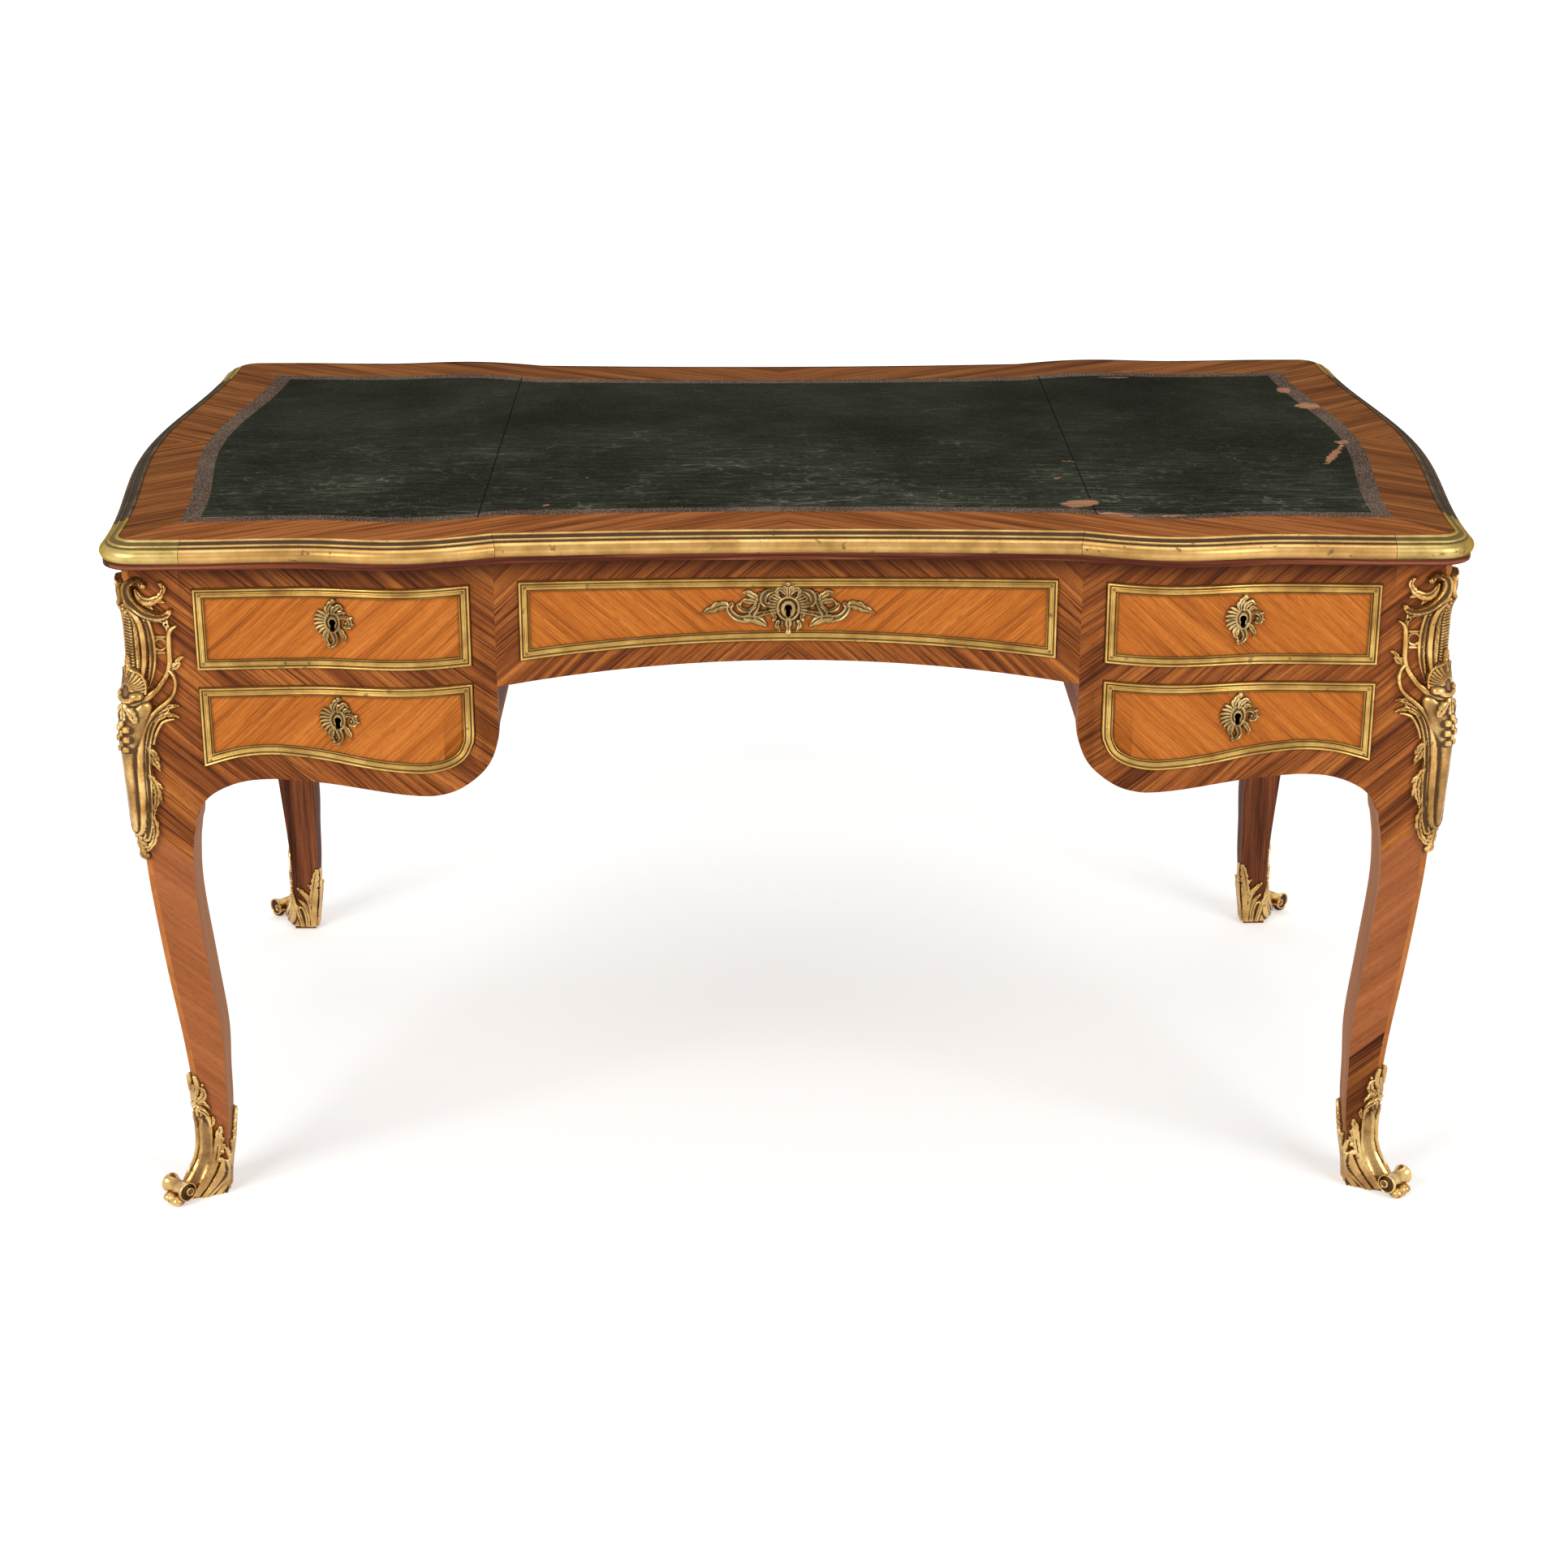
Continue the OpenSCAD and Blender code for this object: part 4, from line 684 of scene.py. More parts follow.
# Profiles of a chased stroke: its height from the distance to its line over its half width, the way
# along it in millimetres, and the side of the line
PROFILES = {
    "round": lambda q, s, side: np.sqrt(1 - q**2.4),
    "scroll": lambda q, s, side: np.where(q < 0.6, 0.74 + 0.26 * (q / 0.6) ** 2,
        np.sqrt(np.clip(1 - ((q - 0.6) / 0.4) ** 2, 0, 1))),
    "gutter": lambda q, s, side: np.where(q < 0.78, 0.42 + 0.58 * (q / 0.78) ** 2,
        np.sqrt(np.clip(1 - ((q - 0.78) / 0.22) ** 2, 0, 1))),
    "lip": lambda q, s, side: np.where(q * side > 0.2,
        0.5 + 0.5 * np.sqrt(np.clip(1 - ((q * side - 0.6) / 0.4) ** 2, 0, 1)),
        0.5 - 0.15 * (q * side < -0.8)),
    "flat": lambda q, s, side: np.sqrt(np.clip((1 - q) / 0.3, 0, 1)),
    "leaf": lambda q, s, side: (0.42 + 0.58 * np.sqrt(1 - q**2)) * (1 - 0.28 * np.exp(-((q / 0.14) ** 2)))
        * (0.96 + 0.04 * np.cos(2 * np.pi * (s / 6.2 - 0.9 * q))),
    "blade": lambda q, s, side: (0.45 + 0.55 * np.sqrt(1 - q**2))
        * (1 - 0.3 * np.exp(-(((q * side - 0.25) / 0.16) ** 2))),
    "ribs": lambda q, s, side: np.sqrt(np.clip((1 - q) / 0.25, 0, 1))
        * (0.5 + 0.5 * np.abs(np.sin(np.pi * s / 3.2))),
    "grain": lambda q, s, side: np.sqrt(np.clip((1 - q) / 0.4, 0, 1))
        * (0.8 + 0.2 * np.sin(3.1 * s + 3 * q) * np.cos(7 * q * side)),
}
# Lobes along the outline of a leaf: how deep they are cut, and their length in millimetres
LOBE_CUT, LOBE_RUN = 0.3, 10.5
# Points in each span of a stroke's line, and how many cells a point is drawn at most
LINE_STEPS, LONGEST_PULL = 6, 1.2


def ring(u, v, across, up, wide, start=0, stop=360, count=16):
    """Points on an ellipse about (u, v), all of one half width."""
    turn = np.radians(np.linspace(start, stop, count))
    return np.stack([u + across * np.cos(turn), v + up * np.sin(turn), np.full(count, wide)], -1)


def dot(u, v, radius):
    """A stroke so short that it is a round boss."""
    return [(u, v, radius), (u, v + 0.1, radius)]


def fan(lift, base, first, last, apart, stations):
    """Round strokes that fan out from a point on the line u = 0, one at each angle from first to last. A
    station gives how far out a stroke has come sideways and upwards, the height of the point, its half
    width there, and how far it has bent in radians."""
    return [("round", lift, base, [(across * math.cos(a + bend), start + up * math.sin(a + bend), wide)
        for across, up, start, wide, bend in stations]) for a in np.radians(np.arange(first, last, apart))]


def chased(strokes, low, high, cell, twin=False, soft=1.1):
    """A relief worked out on a flat grid. A stroke is its profile, how high it lifts that, the base that
    it starts from, and a smooth line of (u, v, half width): each point of the grid takes the height of
    the profile at its distance from the line over the half width, the highest stroke wins, and half
    width less distance says how far inside the outline the point lies. Points just outside are drawn
    onto the outline, and a cut takes away what it covers. Dirt gathers where the relief is below its own
    blurred height. A twin relief is the same on both sides of u = 0."""
    u, v = (np.arange(a, b + cell, cell) for a, b in zip(low, high))
    grid = np.stack(np.meshgrid(u, v, indexing="ij"), -1)
    seen = np.abs(grid) * [1, 0] + grid * [0, 1] if twin else grid
    inside = np.full(grid.shape[:2], -9.0)
    height, seat = np.zeros((2,) + inside.shape)
    for kind, lift, base, points in strokes:
        # Distance of each point near the line from it, the way along it, and the side of it
        line = spline(points, LINE_STEPS)
        centre, wide = line[:, :2], line[:, 2]
        step = np.gradient(centre, axis=0)
        length = np.linalg.norm(step, axis=1)
        tangent = step / length[:, None]
        arc = np.concatenate([[0], np.cumsum(np.linalg.norm(np.diff(centre, axis=0), axis=1))])
        reach = wide.max() + 4 * cell
        near = np.all((seen > centre.min(0) - reach) & (seen < centre.max(0) + reach), axis=-1)
        gap = seen[near][:, None] - centre[None]
        k = np.argmin((gap**2).sum(-1), axis=1)
        off = gap[np.arange(len(k)), k]
        forward = (off * tangent[k]).sum(1)
        half = np.append(length[:-1] / 2, 0)[k], np.append(0, length[1:] / 2)[k]
        forward = np.clip(forward, -half[1], half[0])
        aside = off - tangent[k] * forward[:, None]
        side = np.sign(tangent[k, 0] * aside[:, 1] - tangent[k, 1] * aside[:, 0])
        aside = np.linalg.norm(aside, axis=1)
        s = arc[k] + forward
        w = np.interp(s, arc, wide)
        # What the stroke gives to the height there, and how far inside its outline each point lies
        if kind == "cut":
            inside[near] = np.minimum(inside[near], aside - w)
            continue
        if kind == "leaf":
            w = w * (1 - LOBE_CUT * (1 - np.abs(np.sin(np.pi * (s / LOBE_RUN + side / 4)))) ** 1.5)
        q = np.clip(aside / w, 0, 1)
        rise = np.where(q < 1, base + np.maximum(lift * PROFILES[kind](q, s, side), CAST_EDGE), 0)
        seat[near] = np.where(rise > height[near], base + CAST_EDGE, seat[near])
        height[near] = np.maximum(height[near], rise)
        inside[near] = np.maximum(inside[near], w - aside)
    # Squares with a corner inside are kept, and their corners outside are drawn onto the outline
    slope = np.stack(np.gradient(inside, cell), -1)
    inner = inside > 0
    kept = inner[:-1, :-1] | inner[1:, :-1] | inner[:-1, 1:] | inner[1:, 1:]
    number = np.arange(inner.size).reshape(inner.shape)
    quads = np.stack([number[:-1, :-1], number[1:, :-1], number[1:, 1:], number[:-1, 1:]], -1)[kept]
    pull = -inside[..., None] * slope / np.maximum((slope**2).sum(-1, keepdims=True), 0.2)
    pull = np.clip(pull, -LONGEST_PULL * cell, LONGEST_PULL * cell)
    grid = np.where(inner[..., None], grid, grid + pull)
    beside = np.maximum.reduce([np.roll(seat * inner, shift, axis) for shift in (1, -1) for axis in (0, 1)])
    height = np.where(inner, height, np.maximum(beside, CAST_EDGE))
    # The relief blurred by a bell curve as wide as soft, and the dirt below that height
    waves = [np.fft.fftfreq(n, cell) for n in inner.shape]
    blur = np.exp(-2 * (np.pi * soft) ** 2 * (waves[0][:, None] ** 2 + waves[1][None] ** 2))
    blurred = np.fft.ifft2(np.fft.fft2(height * inner) * blur).real
    dirt = (blurred - height) / DIRTY_DEPTH + LEVEL_DIRT
    used, quads = np.unique(quads, return_inverse=True)
    return grid.reshape(-1, 2)[used], height.ravel()[used], dirt.ravel()[used], quads.reshape(-1, 4)


def cast(name, relief, to_space, finish, patina_and_painted_light, body, nodes, extra=()):
    """A casting from a relief: its face, the same face at the wood as its back, and a wall along every
    edge that only one quad has. The shift it is given is added to the dirt of all of it: patina, and
    also painted dark reflection on the mounts and painted light on the sabots. Extra holds further
    closed parts as (points, faces, dirt)."""
    place, height, dirt, quads = relief
    count = len(place)
    points = [to_space(*place.T, height), to_space(*place.T, CAST_BACK)]
    edges = np.stack([quads, np.roll(quads, -1, axis=1)], -1).reshape(-1, 2)
    lone = ~np.isin(edges[:, 0] * count + edges[:, 1], edges[:, 1] * count + edges[:, 0])
    a, b = edges[lone].T
    faces = np.vstack([quads, quads[:, ::-1] + count, np.stack([b, a, a + count, b + count], -1)]).tolist()
    whole = one_mesh([(np.vstack(points), faces)] + [part[:2] for part in extra])
    dirt = np.concatenate([dirt + patina_and_painted_light, np.ones(count)] + [soil_and_shade for _, _, soil_and_shade in extra])
    return piece(name, *whole, finish, body, "gilt_bronze", nodes, crease=50, dirt=dirt)


# Chased gilt bronze: bright yellow on what stands out, brown in the hollows
gilt = brass("chased_gilt_bronze", "#cdb078", "#a48755", "#7d623b", "#3d2b18",
    patina=0.94, rough=0.36)
KEYHOLE = [("cut", 0, 0, dot(0, 0, 3.4)), ("cut", 0, 0, [(0, 0, 2.3), (0, -4, 2.3), (0, -7, 2.4)])]
SMALL = [
    ("flat", 2, 0, [(0, 8, 7.6), (0, 0, 9.2), (0, -9, 7)]),
    ("round", 4, 0, ring(0, 0.5, 7.6, 10.8, 1.9)),
    ("leaf", 4.4, 0.4, [(-4, 11, 2.8), (-4.5, 16, 4.2), (-1.5, 21, 3.6), (3.5, 24, 1.7)]),
    ("leaf", 4.8, 0.8, [(1, 11, 2.8), (3, 16, 4.2), (7.5, 18.8, 3.4), (11.4, 16.5, 1.8)]),
    ("leaf", 4.2, 0, [(5.5, 8, 2.2), (9.4, 12.4, 3.2), (13, 11.5, 2)]),
    ("round", 4.2, 1.6, dot(1.6, 25, 3)),
    ("scroll", 4.2, 0, [(7, 5, 1.8), (10.5, 6.8, 2.4), (15, 6.2, 2.6), (19.2, 1.8, 2.7), (18, -3.6, 2.5),
        (13.4, -3.6, 2.2)]),
    ("round", 4.8, 0.6, dot(14.8, 0.4, 2.3)),
    ("round", 3.6, 0, [(17, 5, 2), (20.8, 6.2, 2)]),
    ("round", 3.6, 0, [(19, 0, 2), (22.4, -1.4, 1.7)]),
    ("leaf", 4.2, 0, [(6, -6, 2.4), (9.5, -10, 3.6), (12.4, -14.8, 3), (12, -19.6, 1.3)]),
    ("leaf", 4.4, 0, [(-4.5, -9, 2.4), (-8, -13.5, 3.3), (-7.6, -18.2, 2.6), (-5, -21, 1.2)]),
    ("scroll", 4.6, 0, [(0, -11, 3.6), (2.2, -15.5, 3.8), (2.6, -20, 3.3), (-0.5, -24.4, 2.6),
        (-4.6, -25.4, 2.1)]),
    ("round", 4.4, 0.8, dot(-5, -23.6, 2.4)),
] + fan(4, 0, 128, 246, 16.5, [(7.4, 9, 0.5, 1.7, 0), (13.5, 13.5, 1, 2.5, 0.1), (18.6, 18, 1, 1.9, 0.16)])
WIDE = [
    ("flat", 2, 0, [(0, 12, 12), (0, 0, 14.5), (0, -10, 12)]),
    ("flat", 2, 0, [(14, 2, 9), (20, 8, 8)]),
    ("flat", 2.4, 0, [(29, 14, 4), (33, 3, 5), (36, -6, 6), (30, -11, 5)]),
    ("leaf", 4, 0.2, [(13.4, 17, 2), (18.6, 14.6, 3.2), (22, 10, 3.4), (20.6, 6, 2.4)]),
    ("round", 4.6, 0.8, ring(0, 0, 11.4, 12.6, 1.9)),
    ("flat", 3.4, 0, ring(0, -1, 6, 7.6, 2.4)),
    ("scroll", 4.8, 0.3, [(11.4, 18.8, 1.8), (12.3, 19.9, 2), (17.9, 19.6, 3.2), (23.2, 17, 4.6),
        (26.2, 12.2, 5), (26.2, 7, 4.2), (23.2, 3.8, 3), (19.6, 4.5, 2)]),
    ("round", 4.8, 1, dot(20.5, 6.2, 2.6)),
    ("scroll", 4.4, 0, [(30, 16.4, 2.4), (31.8, 9, 3.6), (34.4, 1, 4.2), (38.6, -6, 4.2)]),
    ("leaf", 4.4, 0.4, [(33, 10, 2.6), (37.6, 15, 4.4), (42.4, 17.4, 3.8), (47, 18, 1.8)]),
    ("leaf", 4.2, 0.4, [(34.6, 6.4, 2.6), (40, 8, 4.2), (45, 8.6, 3.8), (49.4, 7.8, 1.8)]),
    ("scroll", 4.4, 0.2, [(35.6, 3, 2.4), (40.8, -1.8, 2.8), (46, -2, 2.8), (50.8, 0.1, 2.8),
        (53.4, 3.8, 2.5)]),
    ("round", 4.6, 0.8, dot(51.4, 5.2, 2.8)),
    ("blade", 4.8, 0, [(22.6, -19.4, 1.4), (28, -15.6, 4.4), (35, -12, 5.4), (44, -11, 5)]),
    ("scroll", 4.8, 0, [(38, -11.4, 4.6), (46, -11.4, 4.8), (54, -10, 4.6), (60, -5.4, 4.2),
        (62.8, 0.6, 3.8), (60, 5, 3)]),
    ("scroll", 4.4, 0, [(13, -4, 2.2), (19, -4.2, 2.8), (25.6, -5, 3.4), (33, -7, 4)]),
    ("leaf", 4.4, 0, [(63, 2.6, 3), (69, 4, 5.6), (76, 1.6, 6), (84, -1.6, 4.2), (91, -4.4, 1.6)]),
    ("leaf", 4.6, 0.4, [(1, 13.6, 2.2), (4.6, 19, 3.3), (9, 21.4, 3.2), (12.4, 18.6, 2.7),
        (10.6, 14.6, 1.9)]),
    ("leaf", 4.4, 0.8, [(1.4, 19, 1.8), (4, 23.4, 2.5), (6.4, 26.4, 1.4)]),
    ("leaf", 4.8, 0.8, [(0, 14, 2.2), (0, 19.4, 3), (0, 23, 2)]),
    ("round", 3.4, 3.4, dot(0, 27.6, 3.2)),
    ("scroll", 4.2, 0.2, [(25, -5, 2.2), (18.6, -4.2, 2.4), (14.4, -8.4, 2.6), (15.4, -12.6, 2.4)]),
    ("round", 4.4, 0.6, dot(15.8, -13, 2.7)),
    ("leaf", 4.2, 0.2, [(11, -15, 2.8), (12, -20, 3), (9, -24.6, 1.5)]),
    ("leaf", 4.8, 1, [(0, -13, 3.8), (0, -19, 4.2), (0, -23, 3.1)]),
    ("round", 3.2, 3.4, dot(0, -26.2, 3.6)),
] + fan(4.2, 0.2, -28, 55, 12, [(10.8, 11, 3, 1.6, 0), (16, 15, 3, 2.1, 0), (19.8, 17.6, 3, 1.7, 0)])
small_relief = chased(SMALL + KEYHOLE, (-22, -29), (25, 29), SMALL_CELL)
wide_relief = chased(WIDE + KEYHOLE, (-94.5, -31), (94.5, 33), WIDE_CELL, twin=True)


def over_keyhole(drawer):
    """Places a relief on the front of a drawer, with its middle on the keyhole."""
    kind, _, side = drawer.partition("_")
    return lambda u, v, height: on_front(1)(KEY_X[side] + u, KEY_Z[kind] + v, height)


for drawer in DRAWERS:
    relief = wide_relief if drawer == "centre" else small_relief
    cast(f"{drawer}_chased_escutcheon", relief, over_keyhole(drawer), gilt, ESCUTCHEON_AGE,
        f"{drawer}_drawer", [f"{drawer}_escutcheon"])

# Corner mounts. One casting wraps the arris of each leg: scrolls and a frond at the top, a ribbed field
# in a pierced frame, a shell, then a strong moulding with leaves that runs down the knee to a bud.

# Spacing of the relief's points, and patina that lies on all of it, raised as painted dark reflection
MOUNT_CELL, MOUNT_PATINA_AND_PAINTED_REFLECTION = 0.72, 0.32
# How far from the middle of the arris, and over what length at a sharp edge, a relief turns the corner
ARRIS_TURN, EDGE_TURN = 12, 5
# Height of the casting's own swelling over the knee, up the leg
SWELL = [(415, 1.5), (440, 4), (456, 6.5), (480, 8.5), (520, 11), (560, 12), (585, 10.5), (602, 8.5),
    (616, 5), (632, 1.5), (650, 0), (745, 0)]
# Distance from the middle of the arris at which the swelling has sunk to about a third
SWELL_WIDTH = 15


def round_leg(side, front, swell=None, toe=None):
    """Places a relief on a leg: v is the height, u runs from the middle of the arris over its own face and
    round the inner corner. Heights stand off in a direction that turns evenly across each corner. A swell
    adds to the height, and a toe shifts what it covers outwards along the diagonal."""
    def to_space(u, v, height):
        drawn, wide = np.interp(v, leg_z, leg_in), np.interp(v, leg_z, leg_wide)
        a, half = np.abs(u), ARRIS_W / math.sqrt(2)
        chamfer = np.minimum(a / half, 1)
        face = wide - ARRIS_W
        past = a - half - face
        sideways = ARRIS_W * (1 + chamfer) / 2 + np.clip(a - half, 0, face)
        inwards = ARRIS_W * (1 - chamfer) / 2 + np.maximum(past, 0)
        turn = np.pi / 4 * (1 + ease(np.clip(a / ARRIS_TURN, 0, 1)))
        turn = turn + np.pi / 2 * ease(np.clip(past / EDGE_TURN + 0.5, 0, 1))
        turn = turn + np.pi / 4 * ease(np.clip((past - wide) / EDGE_TURN + 1, 0, 1))
        rise = height + (swell(u, v) if swell and np.ndim(height) else 0)
        sideways, inwards = sideways - rise * np.cos(turn), inwards - rise * np.sin(turn)
        own = u >= 0
        out = toe(u, v) / math.sqrt(2) if toe and np.ndim(height) else 0
        x = LEG_X + drawn - np.where(own, sideways, inwards) + out
        y = LEG_Y + drawn - np.where(own, inwards, sideways) + out
        return np.stack([side * x, -front * y, v], -1)
    return to_space


def knee_swell(u, v):
    """Swelling over the knee: its height up the leg times a bell curve across the arris."""
    return np.interp(v, *np.array(SWELL).T) * np.exp(-((u / SWELL_WIDTH) ** 2))


MOUNT = [
    ("scroll", 8.4, 0, [(21, 731.4, 3.4), (18, 735.8, 3.4), (12, 736.6, 3.6), (6.8, 732.6, 4),
        (5.2, 725, 4.5), (6.8, 716, 4.9), (11.4, 708.4, 5), (18.6, 702, 4.9), (27, 698.4, 4.6),
        (36, 697.2, 4.3), (43, 698.8, 3.8), (47, 702.6, 3.6)]),
    ("round", 8, 1, dot(21.8, 731, 4.3)), ("round", 8, 0.6, dot(46.8, 702.4, 3.6)),
    ("blade", 5, 0.6, [(13, 727, 2), (15.5, 719.4, 4), (21, 714.4, 5.2), (28, 713.6, 5.2),
        (34.5, 716.4, 4.6)]),
    ("leaf", 5, 0.6, [(30, 714, 4.4), (36, 717.6, 4.6), (40.6, 723, 3.8), (42, 729.4, 3.1),
        (39, 733.4, 2.5)]),
    ("leaf", 4, 0.2, [(20, 712, 2.8), (25.5, 708.4, 2.9), (29.5, 705.4, 1.2)]),
    ("leaf", 4, 0.4, [(33, 714, 2.8), (38.6, 713.4, 2.6), (42.6, 712.4, 1)]),
    ("round", 5, 0.4, dot(0, 713.4, 2.7)), ("round", 5, 0, dot(2.6, 708, 2.8)),
    ("round", 4.8, 0.4, dot(3.4, 703.6, 2.4)), ("round", 4.6, 0, dot(0, 700.6, 2.4)),
    ("round", 4, 0, dot(0, 719, 2.2)),
    ("ribs", 3.4, 0, [(0, 699, 3), (0, 691, 6.4), (0, 670, 7.4), (0, 652, 7.4), (0, 638, 6.4)]),
    ("grain", 3.2, 0, [(4.5, 702, 1.4), (8.6, 692, 2.3), (10, 676, 2.9), (10.2, 656, 2.9),
        (10.2, 640, 2.7), (9.6, 629, 2)]),
    ("round", 5.6, 0, [(5.5, 706, 2.4), (11.4, 697, 3.3), (15.6, 684, 3.7), (17, 668, 3.8),
        (16.8, 652, 3.7), (15, 638, 3.3), (12, 627, 2.5)]),
    ("lip", 4.6, 0, [(12, 706, 2.4), (20, 695, 4.3), (24.2, 680, 4.6), (25.6, 664, 4.6),
        (25.2, 648, 4.4), (22.6, 634, 3.7), (18.8, 620, 2)]),
    ("flat", 2.8, 0, [(20, 693.5, 2.5), (32, 693, 2.2), (42, 691.5, 2.6)]),
    ("round", 3.8, 0.4, dot(41.6, 688.5, 3.8)),
    ("flat", 3, 0, [(41.8, 690, 3), (43.6, 684, 2.8), (44.4, 677, 2.6)]),
    ("round", 5.4, 0, [(52, 686.6, 1.9), (48.4, 684, 2.4), (44.8, 679, 3.2), (43.6, 668, 3.5),
        (43.2, 655, 3.5), (42.6, 645, 3.5), (39.9, 635, 3.6), (33.2, 624, 3.9), (26, 615.3, 4.1),
        (16, 607.3, 4.6), (7, 604, 5), (0, 603.6, 5)]),
    ("flat", 2.8, 0, [(26, 674.5, 2), (43, 674.5, 2)]), ("flat", 2.8, 0, [(26, 657.5, 2),
        (43, 657.5, 2)]),
    ("round", 3.2, 0, ring(34.4, 666.2, 6.2, 6.2, 1.8)),
    ("leaf", 4.8, 0, [(42.6, 641.6, 2.4), (48, 644.4, 2.8), (52.4, 649, 3.2), (55.2, 652.6, 2.2)]),
    ("leaf", 4.2, 0, [(44, 638.6, 2), (49.6, 640.6, 2.4), (53.6, 645, 1.6)]),
    ("grain", 2.6, 3.6, [(37.6, 631, 1.8), (33, 624, 2.6), (28, 618, 2.4), (24, 613.6, 1.4)]),
    ("round", 7, 3, dot(9, 611, 5)), ("round", 5.6, 3, [(9, 611, 2.4), (4, 606, 2.8), (0, 605, 2.6)]),
    ("flat", 3, 0, [(12, 596, 8), (9, 580, 10), (7, 560, 8.4), (6, 520, 8), (5, 480, 7), (3, 460, 5)]),
    ("round", 6.4, 0, [(42.5, 637.4, 2.2), (46.4, 631, 2.6), (47.4, 622, 2.8), (44.4, 611.4, 3),
        (37, 602.8, 3.2), (27.4, 595, 3.3), (19, 586, 3.3), (13, 575, 3.1), (9.6, 561, 2.7),
        (8.2, 540, 2.4), (7.8, 510, 2.3), (7.2, 480, 2.2), (6, 462, 2.1), (3.6, 454.4, 2.2),
        (0, 452, 2.3)]),
    ("round", 7, 0.4, [(14.6, 597.6, 7.6), (11, 589, 10), (7.6, 577, 9.8), (4, 564, 8.6),
        (1, 550, 7.8), (0, 530, 7.3), (0, 500, 6.9), (0, 475, 6.2), (0, 459, 5.2)]),
    ("flat", 3.6, 1.6, [(0, 616, 10), (0, 624, 13.5), (0, 632, 10.5)]),
    ("leaf", 5.4, 2.8, [(0, 632, 3), (0, 640, 3.8), (0, 647, 3), (0, 653, 1.3)]),
    ("leaf", 6, 2, [(0, 601, 3.6), (0, 594, 6), (0, 587, 4.6), (0, 580, 2)]),
    ("leaf", 5, 3.6, [(4, 597, 2.4), (6.8, 590, 2.8), (7.4, 583.6, 1.4)]),
    ("scroll", 4.6, 0, [(36, 593.6, 3.4), (28, 587, 3.9), (20.6, 577, 3.8), (16.4, 565, 3.6),
        (13.8, 550, 3.4), (12.8, 535, 3.3), (12.4, 512, 3.3), (11.8, 488, 3.1), (10, 464, 2.9),
        (6.6, 447, 2.5)]),
    ("leaf", 4.8, 0.4, [(26, 590, 3.2), (34, 595.6, 4.2), (41, 598, 3.6), (48.6, 598.6, 1.4)]),
    ("leaf", 4.8, 0.4, [(24, 581.6, 3.2), (31, 587.2, 4), (39, 588.6, 3.2), (48, 586, 1.7)]),
    ("round", 4, 0, [(43, 583.2, 1.6), (35, 581.4, 2.2), (28.8, 577.4, 2.3), (22.8, 566.4, 2.2),
        (20, 556, 1.8)]),
    ("leaf", 4.4, 0, [(14.5, 553, 2.8), (17, 543, 4), (20.5, 534, 4.2), (24.6, 525.4, 1.4)]),
    ("leaf", 4, 0.2, [(17.6, 549, 2.2), (21.6, 543, 2.6), (24, 537, 1.2)]),
    ("leaf", 4.6, 0, [(13.4, 522, 2.4), (17, 513, 4.4), (19.2, 502, 5), (18.4, 492, 4.4), (16, 482, 2.6),
        (15, 476, 1.2)]),
    ("leaf", 4.2, 0.2, [(18, 511, 2.4), (22.4, 508.4, 2.6), (25, 505, 1.2)]),
    ("leaf", 4.2, 0.2, [(18.6, 498, 2.6), (22.4, 494, 2.4), (23.6, 489.6, 1)]),
    ("leaf", 4.4, 0, [(11.4, 477, 2.4), (14, 467, 4.2), (14.2, 456, 4.6), (11, 444, 3.6), (6, 434, 2)]),
    ("leaf", 5.2, 0.6, [(0, 453, 3.6), (0, 446, 6.2), (0, 437, 5.8), (0, 429, 3.6), (0, 423.8, 2.1)]),
    ("round", 4.6, 0.2, dot(6, 447, 2.8)), ("round", 4.6, 0.2, dot(5.4, 438.4, 2.6)),
    ("round", 4.8, 0.4, [(1, 431, 2.6), (3.6, 427, 2.8), (2.4, 423.6, 2.2)]),
] + [("round", 5.6, 5.2, [(u, v - 1.9, radius), (u, v + 1.9, radius)]) for u, v, radius in (
    (0, 580.5, 1.7), (3.4, 575, 1.9), (0, 570, 2), (3.5, 564, 1.9), (0, 558.6, 1.9), (2.6, 552.6, 1.7))
] + fan(2.6, 4, -14, 91, 13, [(4.5, 4.5, 618, 0.9, 0), (11, 12, 619, 1.6, 0), (15, 17, 620, 1.8, 0)]
) + fan(3.6, 3.6, -20, 91, 6.8, [(16.8, 19.4, 620, 1.7, 0), (16.8, 19.4, 620.1, 1.7, 0)]
) + [("cut", 0, 0, dot(42, 688.6, 1.1))]
# Gilt bronze of the mounts: browner, most of its gold worn or darkened, and darker still as painted dark
# reflection
mount_bronze = brass("gilt_bronze_of_corner_mounts", "#e4be7a", "#b98d50", "#83602f", "#462b13",
    patina=0.94, rough=0.25)
mount_relief = chased(MOUNT, (-58, 420), (58, 741), MOUNT_CELL, twin=True, soft=1.3)
for place, side, front in CORNERS:
    cast(f"{place}_chased_corner_mount", mount_relief, round_leg(side, front, swell=knee_swell),
        mount_bronze, MOUNT_PATINA_AND_PAINTED_REFLECTION, "carcase", ["corner_mounts"])

# Sabots. A cast shoe round each foot, with leaves up the arris and a tongue that sweeps out on the
# diagonal and rolls into a scroll over three small lobes.

# Spacing of the relief's points, patina that lies on all of it, below none as painted light that brightens
# the sabots, and the height of a sabot
SABOT_CELL, SABOT_PATINA_AND_PAINTED_LIGHT = 0.7, -0.06
SABOT_TOP = 150
# Height of the bare wood under the rear sabots
BLOCK_H = 4
# How far the tongue stands out along the diagonal, up the foot
TOE = [(0, 20), (20, 22), (25, 18.8), (32, 13.3), (39.5, 7.8), (46, 4), (57, 0.8), (70, 0), (150, 0)]
